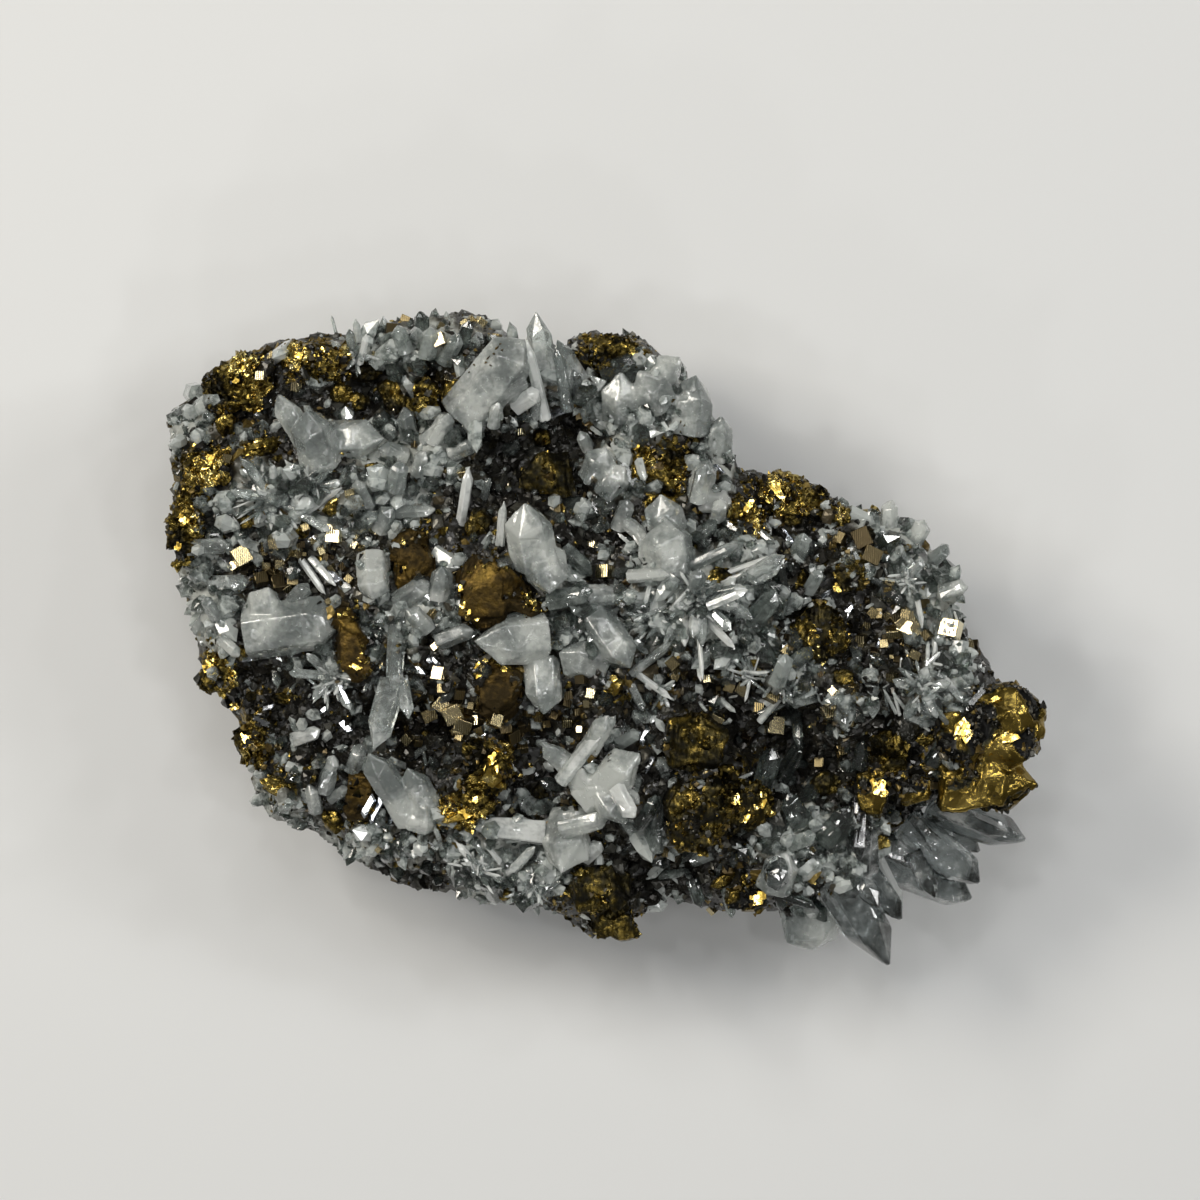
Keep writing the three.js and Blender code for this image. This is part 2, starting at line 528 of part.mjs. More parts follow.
const LARGE_PIECES = [
  ...Object.values(QUARTZ).flat().flatMap(({ at, heading, rise, length, width }) =>
    [0.1, 0.5, 0.9].map((along) => ({
      x: at[0] + along * length * Math.cos(heading * DEGREE) * Math.cos(rise * DEGREE),
      y: at[1] + along * length * Math.sin(heading * DEGREE) * Math.cos(rise * DEGREE),
      radius: width / 2,
    })),
  ),
  ...[CHALCOPYRITE, QUARTZ_LUMPS].flatMap((layout) => Object.values(layout).flat()).map(({ at, size }) => ({
    x: at[0], y: at[1], radius: Math.max(size[0], size[1]),
  })),
  ...Object.values(PYRITE).flat().map(({ at, size }) => ({ x: at[0], y: at[1], radius: size })),
];

const nearLargePiece = (x, y) =>
  LARGE_PIECES.some((piece) => Math.hypot(x - piece.x, y - piece.y) < piece.radius + GRAIN_CLEAR);

function rockGrains() {
  const random = seeded(41);
  const between = ([low, high]) => low + (high - low) * random();
  const grains = [];
  while (grains.length < GRAIN_COUNT) {
    const angle = 2 * Math.PI * random();
    const share = 0.97 * Math.sqrt(random());
    const reach = share * outlineRadius(angle);
    const at = [reach * Math.cos(angle), reach * Math.sin(angle)];
    if (nearLargePiece(...at)) continue;
    const width = between(GRAIN_WIDTH);
    const heading = angle / DEGREE + (random() - 0.5) * 140;
    const rise = between([30, 80]) - 30 * share ** 4;
    const isQuartz = random() < 0.62;
    const quartz = { at, heading, rise, length: width * between([1.3, 1.9]), width: 0.8 * width };
    const chunk = { at, size: [0.62 * width, 0.5 * width, 0.6 * width], corners: 7, yaw: heading };
    const seed = Math.floor(random() * 1000);
    grains.push(isQuartz ? quartzPrism(quartz) : hullChunk({ ...chunk, seed, lift: 0.35 }));
  }
  return joined(grains);
}

// ---- Putting the specimen together ----------------------------------------------------------------

const minerals = [
  { finish: FINISHES.quartz, layout: QUARTZ, make: quartzPrism },
  { finish: FINISHES.quartz, layout: QUARTZ_LUMPS, make: hullChunk },
  { finish: FINISHES.pyrite, layout: PYRITE, make: pyriteCube },
  { finish: FINISHES.chalcopyrite, layout: CHALCOPYRITE, make: hullChunk },
];

const pieces = [];
const sockets = [];
let taken = rockBody(SEAT_GAP);
for (const { finish: material, layout, make } of minerals) {
  for (const [name, crystals] of Object.entries(layout)) {
    const intergrowth = (grow) => joined(crystals.map((crystal) => make(crystal, grow)));
    const seated = largest(intergrowth(0).subtract(taken));
    pieces.push({ name, solid: seated, finish: material, crystals });
    sockets.push(intergrowth(SEAT_GAP));
    taken = taken.add(sockets.at(-1));
  }
}
const brokenRock = rockBody().subtract(brokenPieces());
const rock = largest(brokenRock.add(rockGrains().subtract(joined(sockets))));
pieces.push({ name: 'rock', solid: rock, finish: FINISHES.rock, crystals: [{ at: [0, 0] }] });

const specimen = new THREE.Group();
for (const { name, solid, finish: material, crystals } of pieces) {
  const seat = new THREE.Vector3(...crystals[0].at, name === 'rock' ? 0 : bedHeight(...crystals[0].at));
  const geometry = toGeometry(solid).translate(-seat.x, -seat.y, -seat.z);
  const mesh = new THREE.Mesh(geometry, material.clone());
  mesh.name = name;
  mesh.position.copy(seat);
  specimen.add(mesh);
}

const box = new THREE.Box3().setFromObject(specimen);
const middle = box.getCenter(new THREE.Vector3());
specimen.position.set(-middle.x, -middle.y, -box.min.z);

const whole = new THREE.Group();
whole.add(specimen);

export default whole;
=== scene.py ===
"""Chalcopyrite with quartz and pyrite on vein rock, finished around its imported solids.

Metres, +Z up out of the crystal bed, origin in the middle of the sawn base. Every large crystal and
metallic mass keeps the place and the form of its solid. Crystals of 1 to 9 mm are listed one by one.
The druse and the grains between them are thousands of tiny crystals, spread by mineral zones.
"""

import json
import math

import bmesh
import bpy
import numpy as np
from mathutils import Matrix, Quaternion, Vector, noise
from mathutils.bvhtree import BVHTree

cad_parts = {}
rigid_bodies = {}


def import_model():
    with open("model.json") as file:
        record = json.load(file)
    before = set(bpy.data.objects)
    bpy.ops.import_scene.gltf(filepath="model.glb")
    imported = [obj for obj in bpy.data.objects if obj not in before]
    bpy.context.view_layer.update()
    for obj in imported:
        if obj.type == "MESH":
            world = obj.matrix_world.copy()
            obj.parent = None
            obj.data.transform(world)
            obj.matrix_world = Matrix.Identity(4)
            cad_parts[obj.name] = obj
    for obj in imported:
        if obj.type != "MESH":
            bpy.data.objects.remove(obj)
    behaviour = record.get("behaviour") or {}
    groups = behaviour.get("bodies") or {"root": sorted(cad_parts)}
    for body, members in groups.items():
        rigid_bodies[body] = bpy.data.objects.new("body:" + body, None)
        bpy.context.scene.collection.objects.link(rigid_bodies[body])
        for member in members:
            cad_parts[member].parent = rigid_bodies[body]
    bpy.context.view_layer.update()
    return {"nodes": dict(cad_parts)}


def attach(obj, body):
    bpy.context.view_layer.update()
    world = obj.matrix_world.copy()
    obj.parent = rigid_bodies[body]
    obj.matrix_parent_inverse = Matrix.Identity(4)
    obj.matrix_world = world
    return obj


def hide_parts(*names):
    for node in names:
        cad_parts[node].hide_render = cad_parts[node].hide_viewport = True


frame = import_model()

MM = 0.001
NODES = frame["nodes"]


def nodes_of(mineral):
    """The names of a mineral's solids."""
    return sorted(name for name in NODES if name.split("_")[0] == mineral)


# ---- Camera --------------------------------------------------------------------------------------

BED_MIDDLE = Vector((-0.84, -0.1, 0)) * MM  # the crystals are laid out about this point
VIEW_CENTRE = BED_MIDDLE + Vector((0, 5, 27)) * MM
VIEW_WIDTH = 150 * MM  # what the view spans at the level of the crystal bed
CAMERA_HEIGHT = 0.9  # above the bed
SENSOR = 36.0

lens_data = bpy.data.cameras.new("lens")
lens_data.sensor_width = SENSOR
lens_data.lens = SENSOR * CAMERA_HEIGHT / VIEW_WIDTH
lens_data.clip_start = 0.01
camera = bpy.data.objects.new("camera", lens_data)
camera.location = VIEW_CENTRE + Vector((0, 0, CAMERA_HEIGHT))
bpy.context.scene.collection.objects.link(camera)
bpy.context.scene.camera = camera


# ---- Floor and studio light ----------------------------------------------------------------------


def linear(colour):
    """An sRGB hex colour as the linear values that shaders take."""
    channels = [int(colour[i : i + 2], 16) / 255 for i in (1, 3, 5)]
    return (*(c / 12.92 if c < 0.04045 else ((c + 0.055) / 1.055) ** 2.4 for c in channels), 1.0)


def fill(tree, node, sockets):
    """Gives each named or numbered socket a value or another node's output."""
    for key, value in sockets.items():
        if isinstance(value, bpy.types.NodeSocket):
            tree.links.new(value, node.inputs[key])
        else:
            node.inputs[key].default_value = value


def add(tree, kind, sockets=None, out=0, stops=(), **settings):
    """Adds a node with its settings, its sockets' values or links and, for a colour ramp, its stops:
    pairs of a place and an sRGB hex colour. Gives one of its outputs."""
    node = tree.nodes.new(kind)
    for name, value in settings.items():
        setattr(node, name, value)
    fill(tree, node, sockets or {})
    if stops:
        elements = node.color_ramp.elements
        while len(elements) < len(stops):
            elements.new(0.5)
        for element, (place, colour) in zip(elements, stops):
            element.position = place
            element.color = linear(colour)
    return node.outputs[out]


def new_material(name):
    """A material with one Principled shader, and its tree."""
    material = bpy.data.materials.new(name)
    material.use_nodes = True
    return material, material.node_tree


def finished(material, sockets, height=None):
    """Fills the shader's sockets, and shades the surface by a height in millimetres."""
    tree = material.node_tree
    if height is not None:
        sockets["Normal"] = add(tree, "ShaderNodeBump", {"Height": height, "Strength": 1.0, "Distance": MM})
    fill(tree, tree.nodes["Principled BSDF"], sockets)
    return material


FLOOR_HALF_WIDTH = 1.5  # metres


def paper_floor():
    """Matt studio paper: pale, even and without gloss."""
    material, _ = new_material("matt_paper")
    finished(material, {"Base Color": linear("#dcdddd"), "Roughness": 0.95, "Specular IOR Level": 0.1})
    bm = bmesh.new()
    bmesh.ops.create_grid(bm, x_segments=1, y_segments=1, size=FLOOR_HALF_WIDTH)
    mesh = bpy.data.meshes.new("floor")
    bm.to_mesh(mesh)
    bm.free()
    mesh.materials.append(material)
    floor = bpy.data.objects.new("floor", mesh)
    bpy.context.scene.collection.objects.link(floor)


def towards(azimuth, elevation):
    """The direction with this azimuth from +X and this elevation above level, in degrees."""
    turn, lift = math.radians(azimuth), math.radians(elevation)
    return Vector((math.cos(turn) * math.cos(lift), math.sin(turn) * math.cos(lift), math.sin(lift)))


LIT_POINT = Vector((0, 0, 20)) * MM


def lamp(name, way, distance, size, watts, colour):
    """An area light of this size in metres that looks at the lit point."""
    data = bpy.data.lights.new(name, "AREA")
    data.shape = "RECTANGLE"
    data.size, data.size_y = size
    data.energy = watts
    data.color = linear(colour)[:3]
    light = bpy.data.objects.new(name, data)
    light.location = LIT_POINT + way * distance
    light.rotation_euler = way.to_track_quat("Z", "Y").to_euler()
    bpy.context.scene.collection.objects.link(light)


LEFT_BOX = towards(150, 42)
# Name, direction, distance, width and height, watts and colour.
SOFT_BOXES = (
    ("key_left", LEFT_BOX, 0.7, (0.26, 0.2), 2.2, "#fff8ec"),
    ("key_right", towards(20, 38), 0.75, (0.22, 0.18), 1.2, "#f8f8f6"),
    ("fill_top", towards(95, 62), 0.8, (0.3, 0.2), 0.7, "#ffffff"),
)
GLINT_LAMPS = 12
GLINT_SIZE = 0.036
GLINT_WATTS = 0.14


def studio():
    """A soft key from the left, a weaker one from the right, a broad fill above, and a ring of small
    lamps at four heights for glints."""
    world = bpy.data.worlds.new("studio")
    bpy.context.scene.world = world
    world.use_nodes = True
    tree = world.node_tree
    fill(tree, tree.nodes["Background"], {"Color": linear("#cfcdc6"), "Strength": 0.23})
    for box in SOFT_BOXES:
        lamp(*box)
    for step in range(GLINT_LAMPS):
        way = towards(360 / GLINT_LAMPS * (step + 0.5), 36 + 12 * (step % 4))
        lamp("glint", way, 0.6, (GLINT_SIZE, GLINT_SIZE), GLINT_WATTS, "#ffffff")


paper_floor()
studio()
bpy.context.scene.view_settings.view_transform = "Standard"


# ---- Mineral finishes ----------------------------------------------------------------------------


def millimetres(tree):
    """The piece's own coordinates in millimetres, so that a pattern's scale is one over its size."""
    place = add(tree, "ShaderNodeTexCoord", out="Object")
    return add(tree, "ShaderNodeMapping", {"Vector": place, "Scale": (1000, 1000, 1000)})


def weighted(tree, *parts):
    """The sum of some values, each times its weight."""
    total = None
    for value, weight in parts:
        if weight != 1:
            value = add(tree, "ShaderNodeMath", {0: value, 1: weight}, operation="MULTIPLY")
        if total is None:
            total = value
        else:
            total = add(tree, "ShaderNodeMath", {0: total, 1: value}, operation="ADD")
    return total


def facets(tree, mm, size, lean):
    """A height that leans another way in each grain of the given size, so that a bump shows every
    grain as one flat face. Its mean slope is lean."""
    grains = add(tree, "ShaderNodeTexVoronoi", {"Vector": mm, "Scale": 1 / size}, "Color")
    centred = add(tree, "ShaderNodeVectorMath", {0: grains, 1: (0.5, 0.5, 0.5)}, operation="SUBTRACT")
    scaled = add(tree, "ShaderNodeVectorMath", {0: centred, 3: 2 * lean}, operation="SCALE")
    return add(tree, "ShaderNodeVectorMath", {0: scaled, 1: mm}, "Value", operation="DOT_PRODUCT")


# The attributes tone, pale and brassy are the values that tagged() gives a mesh. A noise of scale
# PATCH / size has soft patches of that size in millimetres. A map range takes the value as socket 0,
# its range as 1 and 2, and the new range as 3 and 4.
PATCH = 0.5
QUARTZ_IOR = 1.544


def milky_quartz():
    """Vein quartz full of tiny bubbles: soft white veils over a clear grey, glowing inside, with
    small frosted spots under a glassy skin."""
    material, tree = new_material("milky_quartz")
    mm = millimetres(tree)
    fine = add(tree, "ShaderNodeTexNoise", {"Vector": mm, "Scale": PATCH / 0.35, "Detail": 5.0}, "Fac")
    broad = add(tree, "ShaderNodeTexNoise", {"Vector": mm, "Scale": PATCH / 3.5, "Detail": 2.0}, "Fac")
    veil = weighted(tree, (broad, 0.78), (fine, 0.22))
    stops = (0.42, "#b0b8b6"), (0.5, "#c9cfcc"), (0.58, "#e8ece7")
    height = weighted(tree, (fine, 0.03), (facets(tree, mm, 1.4, 0.07), 1))
    return finished(material, {
        "Base Color": add(tree, "ShaderNodeValToRGB", {"Fac": veil}, stops=stops),
        "Transmission Weight": add(tree, "ShaderNodeMapRange", {0: veil, 1: 0.42, 2: 0.58, 3: 0.75, 4: 0.5}),
        "Roughness": add(tree, "ShaderNodeMapRange", {0: fine, 1: 0.35, 2: 0.65, 3: 0.08, 4: 0.28}),
        "IOR": QUARTZ_IOR,
        "Subsurface Weight": 0.5,
        "Subsurface Radius": (1.0, 1.0, 1.0),
        "Subsurface Scale": 1.2 * MM,
        "Coat Weight": 0.9,
        "Coat Roughness": 0.05,
    }, height)


def clear_quartz(name, stops, clearest, cloudiest, frost, wobble, veil_size=1.8):
    """Quartz that grew slowly: glass-clear with grey veils of the given size in millimetres, and sharp
    highlights on its faces. It transmits from clearest down to cloudiest, frost is its most roughness,
    and its small faces lean by wobble."""
    material, tree = new_material(name)
    mm = millimetres(tree)
    fine = add(tree, "ShaderNodeTexNoise", {"Vector": mm, "Scale": PATCH / 0.3, "Detail": 4.0}, "Fac")
    cloudy = {"Vector": mm, "Scale": PATCH / veil_size, "Detail": 2.0}
    broad = add(tree, "ShaderNodeTexNoise", cloudy, "Fac")
    tone = add(tree, "ShaderNodeAttribute", out="Fac", attribute_name="tone")
    veil = weighted(tree, (broad, 0.45), (fine, 0.2), (tone, 0.35))
    see_through = {0: veil, 1: 0.44, 2: 0.62, 3: clearest, 4: cloudiest}
    height = weighted(tree, (fine, 0.02), (facets(tree, mm, 0.7, wobble), 1))
    return finished(material, {
        "Base Color": add(tree, "ShaderNodeValToRGB", {"Fac": veil}, stops=stops),
        "Transmission Weight": add(tree, "ShaderNodeMapRange", see_through),
        "Roughness": add(tree, "ShaderNodeMapRange", {0: fine, 1: 0.35, 2: 0.65, 3: 0.03, 4: frost}),
        "IOR": QUARTZ_IOR,
        "Coat Weight": 0.9,
        "Coat Roughness": 0.03,
    }, height)


def dark_sulphide():
    """Sphalerite and galena: near-black cleaved grains with a sub-metallic, mirror-like flash."""
    material, tree = new_material("dark_sulphide")
    tone = add(tree, "ShaderNodeAttribute", out="Fac", attribute_name="tone")
    black_to_grey = (0, "#1a1916"), (0.4, "#2d2b27"), (0.6, "#44443f"), (0.74, "#565349")
    brown = (0.82, "#5c4c2a"), (1, "#8f7a3f")
    return finished(material, {
        "Base Color": add(tree, "ShaderNodeValToRGB", {"Fac": tone}, stops=black_to_grey + brown),
        "Roughness": add(tree, "ShaderNodeMapRange", {0: tone, 3: 0.14, 4: 0.34}),
        "Metallic": 0.5,
    }, facets(tree, millimetres(tree), 0.6, 0.2))


def steel_galena():
    """Galena blades: lead-grey metal with straight cleavage steps that flash white."""
    material, tree = new_material("galena")
    tone = add(tree, "ShaderNodeAttribute", out="Fac", attribute_name="tone")
    lead = add(tree, "ShaderNodeValToRGB", {"Fac": tone}, stops=((0, "#5c626b"), (1, "#c5cad2")))
    height = facets(tree, millimetres(tree), 0.7, 0.08)
    return finished(material, {"Base Color": lead, "Metallic": 1.0, "Roughness": 0.16}, height)


TARNISH_STEPS = (0.41, 0.48, 0.55, 0.63)  # where the four colours of an ore lie along its patches


def massive_ore(name, colours, metal, gloss, grain, lean, patch_size=2.4, growth_lines=0.0):
    """Massive chalcopyrite: brass-yellow metal whose broken grains of the given size face every way,
    with a mean slope of lean. A thin tarnish darkens and dulls patches of it, from brass over olive to
    brown and black, and gloss is the roughness where it is bright. Growth lines of the given depth in
    millimetres stripe its faces."""
    material, tree = new_material(name)
    mm = millimetres(tree)
    broad, fine, pits = (
        add(tree, "ShaderNodeTexNoise", {"Vector": mm, "Scale": PATCH / size, "Detail": 4.0}, "Fac")
        for size in (patch_size, 0.5, 0.3)
    )
    patch = weighted(tree, (broad, 0.65), (fine, 0.35))
    stops = tuple(zip(TARNISH_STEPS, colours))
    dulled = {0: patch, 1: 0.43, 2: 0.55, 3: gloss + 0.25, 4: gloss}
    heights = [(facets(tree, mm, grain, lean), 1), (pits, 0.15 * grain)]
    if growth_lines:
        wave = {"Vector": mm, "Scale": 0.5, "Distortion": 3.0}
        heights.append((add(tree, "ShaderNodeTexWave", wave, "Fac"), growth_lines))
    return finished(material, {
        "Base Color": add(tree, "ShaderNodeValToRGB", {"Fac": patch}, stops=stops),
        "Roughness": add(tree, "ShaderNodeMapRange", dulled),
        "Metallic": metal,
    }, weighted(tree, *heights))


def cleaved_ore():
    """Cleaved chalcopyrite: smooth ochre-golden faces with sharply bounded dark patches."""
    material, tree = new_material("chalcopyrite_cleaved")
    mm = millimetres(tree)
    tone = add(tree, "ShaderNodeAttribute", out="Fac", attribute_name="tone")
    broad, fine = (
        add(tree, "ShaderNodeTexNoise", {"Vector": mm, "Scale": PATCH / size, "Detail": 4.0}, "Fac")
        for size in (0.8, 0.35)
    )
    share = weighted(tree, (tone, 1), (broad, 0.3))
    stops = (0.55, "#1d1d1c"), (0.62, "#2f2d1d"), (0.64, "#54461d"), (0.75, "#72602a"), (1.0, "#988344")
    height = weighted(tree, (facets(tree, mm, 2.2, 0.2), 1), (fine, 0.03))
    return finished(material, {
        "Base Color": add(tree, "ShaderNodeValToRGB", {"Fac": share}, stops=stops),
        "Roughness": add(tree, "ShaderNodeMapRange", {0: share, 1: 0.6, 2: 0.7, 3: 0.36, 4: 0.2}),
        "Metallic": 0.9,
    }, height)


def pyrite_finish():
    """Pyrite: pale brass cubes with mirror faces and fine growth lines, some dulled to brown. The brown is
    partly tarnish and partly painted shade, and the palest tone is partly a painted highlight.
    """
    material, tree = new_material("pyrite")
    tone = add(tree, "ShaderNodeAttribute", out="Fac", attribute_name="tone")
    stops = (0, "#4a4030"), (0.4, "#857857"), (0.75, "#bdb08a"), (1, "#f0e4c0")
    wave = {"Vector": millimetres(tree), "Scale": 1.2, "Distortion": 1.5}
    return finished(material, {
        "Base Color": add(tree, "ShaderNodeValToRGB", {"Fac": tone}, stops=stops),
        "Roughness": add(tree, "ShaderNodeMapRange", {0: tone, 3: 0.34, 4: 0.14}),
        "Metallic": 1.0,
    }, weighted(tree, (add(tree, "ShaderNodeTexWave", wave, "Fac"), 0.03)))


def vein_rock():
    """Broken vein rock: dark sulphides and grey quartz grown through each other in grains of 0.5 to
    3 mm, with flecks of brassy ore. The attributes pale and brassy say which mineral is rich."""
    material, tree = new_material("vein_rock")
    mm = millimetres(tree)
    cells = add(tree, "ShaderNodeTexVoronoi", {"Vector": mm, "Scale": 0.9}, "Color")
    pick = add(tree, "ShaderNodeSeparateColor", {"Color": cells})
    speck = add(tree, "ShaderNodeTexNoise", {"Vector": mm, "Scale": PATCH / 0.8, "Detail": 5.0}, "Fac")
    pale = add(tree, "ShaderNodeAttribute", out="Fac", attribute_name="pale")
    share = weighted(tree, (pick, 0.25), (speck, 0.45), (pale, 0.75))
    grey = (0.3, "#14130f"), (0.48, "#2b281f"), (0.7, "#64645c"), (0.95, "#aaada7")
    brass = (0.4, "#32290f"), (0.6, "#8e7838")
    stone = add(tree, "ShaderNodeValToRGB", {"Fac": share}, stops=grey)
    ore = add(tree, "ShaderNodeValToRGB", {"Fac": speck}, stops=brass)
    rich = add(tree, "ShaderNodeAttribute", out="Fac", attribute_name="brassy")
    mask = weighted(tree, (pick, 0.5), (rich, 1))
    brassy = add(tree, "ShaderNodeMapRange", {0: mask, 1: 0.72, 2: 0.85})
    height = weighted(tree, (facets(tree, mm, 0.7, 0.3), 1), (speck, 0.2))
    return finished(material, {
        "Base Color": add(tree, "ShaderNodeMix", {0: brassy, 6: stone, 7: ore}, 2, data_type="RGBA"),
        "Metallic": brassy,
        "Roughness": add(tree, "ShaderNodeMapRange", {0: pick, 3: 0.45, 4: 0.12}),
    }, height)


MILKY = milky_quartz()
CLEAR = clear_quartz(
    "clear_quartz", ((0.4, "#c9d2d0"), (0.5, "#e6edea"), (0.6, "#f8fbf8")),
    clearest=0.86, cloudiest=0.42, frost=0.1, wobble=0.05,
)
DRUSE = clear_quartz(
    "druse_quartz", ((0.38, "#89948f"), (0.52, "#c0cac6"), (0.64, "#eaf0ec")),
    clearest=0.94, cloudiest=0.46, frost=0.16, wobble=0.1, veil_size=0.8,
)
SMOKY = clear_quartz(
    "smoky_quartz", ((0.4, "#6b7673"), (0.52, "#919c98"), (0.64, "#bec6c2")),
    clearest=0.95, cloudiest=0.55, frost=0.14, wobble=0.08,
)
RIM_QUARTZ = clear_quartz(
    "glassy_quartz", ((0.42, "#6a7171"), (0.52, "#99a0a0"), (0.6, "#e9ecea")),
    clearest=1.0, cloudiest=0.55, frost=0.1, wobble=0.04,
)
DARK = dark_sulphide()
GALENA = steel_galena()
ROUGH_ORE = massive_ore(
    "chalcopyrite_broken", ("#1c1a12", "#564a23", "#9c8644", "#dccb86"),
    metal=1.0, gloss=0.18, grain=0.6, lean=0.5,
)
AMBER_ORE = massive_ore(
    "chalcopyrite_tarnished", ("#2e240d", "#463716", "#59461b", "#725c26"),
    metal=0.8, gloss=0.34, grain=1.6, lean=0.08, patch_size=3.2,
)
OLIVE_ORE = massive_ore(
    "chalcopyrite_olive", ("#17150d", "#2c2712", "#463c1a", "#857134"),
    metal=0.85, gloss=0.26, grain=0.8, lean=0.2, patch_size=2.0, growth_lines=0.05,
)
POLISHED_ORE = massive_ore(
    "chalcopyrite_fresh", ("#8c7432", "#b49a4c", "#d8c070", "#f0de9e"),
    metal=1.0, gloss=0.14, grain=0.45, lean=0.15, patch_size=0.8,
)
CLEAVED_ORE = cleaved_ore()
PYRITE = pyrite_finish()
ROCK = vein_rock()


# ---- Where each mineral is rich on the bed -------------------------------------------------------

# Middle, half-widths and richness of each zone, in millimetres about the middle of the bed.
ZONES = {
    "druse": [
        (-52, 31, 4, 7, 2.5), (-40, 18, 7, 4.5, 3), (-24, 37, 8.5, 3.2, 3), (-14, 39.6, 5, 1.4, 1.2),
        (-54, 27, 2.5, 6, 2.5), (-9, -12, 4, 5, 0.7), (-9, 30, 4, 4, 2.5), (-23, 24, 7, 4, 3.5),
        (-27, 17, 6, 4.5, 3), (-50, 8, 4, 5, 2), (-35.5, 10.5, 4, 3, 1.2), (-48.5, 2, 4, 4, 2.5),
        (-23, 4, 6, 4.5, 3), (-34, -3.5, 6, 3, 1.2), (-29, -26, 8, 3, 3), (-41, -21, 5, 4, 2.5),
        (-12, -28.5, 9, 5, 3.5), (-38, -13, 4, 3, 1), (2, 22, 4.5, 5.5, 3), (6, 31, 8, 5, 3),
        (15.5, 24, 3, 4, 3), (14, 4, 9.5, 6.5, 3.5), (0, 1, 5, 4, 2), (23, -4, 6, 5, 2.5),
        (39, 12, 7.5, 7.5, 3.5), (43, 3, 4, 5, 2), (42, -6, 4.5, 3, 2), (17, 12, 4.5, 3, 2),
        (31.5, -11.5, 2, 3, 1.2), (27, -25.5, 6.5, 5, 3.5), (37, -27, 6, 4, 2), (6.5, -24, 4.5, 5, 2),
        (22, -18, 3, 4, 1), (-5, 5, 4, 3, 2),
    ],
    "dark": [
        (-44, 30.5, 5, 4, 2.5), (-28, 31, 9, 3.6, 3), (-38, 9.5, 7, 4.5, 2.5), (-7, 24, 8, 5, 4),
        (-14.5, 18, 4.5, 4, 2.5), (-40, -6.5, 8, 4, 3), (-34, -11, 6, 4, 3), (-23, -11.5, 5, 4, 4.5),
        (-19, -3, 4, 4, 3), (-7, -13, 5, 6, 1.8), (-10, -20, 4, 4, 2), (-20, -28, 6, 3, 1),
        (-1, 12, 4, 3, 2.5), (16, -8, 7, 5, 2.8), (24, -13.5, 6, 6, 3.6), (29, -19, 4, 4, 3),
        (27.5, 5, 6, 5, 2.5), (35, 1, 5, 5, 3), (5, -15, 4, 6, 2.5), (10.5, -30, 6, 4, 2.5),
        (40, -21, 5, 3, 3), (4.5, -30, 3, 4, 5), (27, 17, 4, 3, 1.5), (45, -18, 3, 2, 1),
        (35, -12, 4, 4, 3), (40, -14, 3.5, 4, 2.5), (17, -11, 3, 4, 2.5), (-27, -30.5, 6, 2, 3),
        (-16, -34, 4, 1.5, 2),
    ],
    "ore": [
        (-46, 34, 5, 3.5, 3), (-48, 30, 2.5, 5, 2.5), (-36, 35.5, 5, 3, 4), (-28, 31, 7, 3, 1.2),
        (-49, 22, 5, 3, 3), (-53, 15, 3, 7, 4), (-48.5, -3, 4, 4, 3), (-45, -11, 4, 4, 3),
        (-41, -17, 5, 3, 2.5), (-40, -7, 3, 1.5, 2), (-33.5, -22.5, 3, 2.5, 2), (-17, -17.5, 6, 5, 1.5),
        (-28, 21, 2, 1.5, 2), (-33, 17, 2, 2, 2), (-20, 11, 5, 5, 1), (-13, 7, 6, 6, 1), (2, 37, 5, 2.5, 4),
        (7.2, 21.5, 4.6, 5, 6), (19, 17, 4, 4, 2), (24, 19.5, 5, 3.5, 4), (36.5, -14, 4, 3, 2),
        (31, 16, 2, 2, 3), (26, 3, 5, 6, 1), (31, 8, 3, 4, 1), (25, 8, 1.5, 2, 2), (17, -20, 6, 5, 3),
        (12, -12, 5, 6, 0.7), (35, -19, 4, 4, 2), (40, -17, 4, 3, 1.5), (50, -12, 6, 8, 1.2),
        (0, -34, 6, 5, 2), (19, -32, 4, 2, 2), (37, -25, 3, 2, 2), (-30, -28, 8, 3, 0.8),
    ],
    "pyrite": [
        (-38, 9, 7, 4, 0.6), (-18.5, -9.5, 5, 3, 0.8), (17, -7.5, 7, 5, 0.5), (36, 1, 5, 5, 0.5),
        (-20, 37, 8, 4, 0.12), (-7, -11, 5, 4, 0.5), (29, -8, 4, 4, 0.3),
    ],
    "needle": [
        (-39, 17.5, 6, 4, 1), (12, 4.8, 9, 6, 1), (40, -6, 5, 5, 0.8), (-33.6, -4.6, 5, 4, 0.9),
        (-11, -30, 8, 4, 1), (38, 8, 7, 6, 0.5), (-30, 37, 3, 3, 0.8), (20, -4, 6, 4, 0.6),
    ],
}
EVERYWHERE = {"druse": 0.3, "dark": 0.7, "ore": 0.24, "pyrite": 0.02, "needle": 0.02}


def richness(kind, places):
    """How rich a mineral is at each place. The zones' edges wander by a millimetre or two."""
    x, y = (places[:, 0] - BED_MIDDLE.x) / MM, (places[:, 1] - BED_MIDDLE.y) / MM
    x, y = (
        x + 1.1 * np.sin(0.9 * y) + 0.6 * np.sin(2.3 * y + 1),
        y + 1.1 * np.sin(0.8 * x + 2) + 0.6 * np.sin(2.1 * x),
    )
    rich = np.full(len(places), EVERYWHERE[kind])
    for zone_x, zone_y, half_x, half_y, strength in ZONES[kind]:
        away = ((x - zone_x) / half_x) ** 2 + ((y - zone_y) / half_y) ** 2
        rich += strength * np.exp(-(away**2))
    return rich


# ---- Pieces that keep the place and form of a solid ----------------------------------------------

# Face sizes of the remeshed solids, in millimetres.
ROCK_VOXEL, QUARTZ_VOXEL, ORE_VOXEL, PYRITE_VOXEL = 0.5, 0.22, 0.26, 0.1
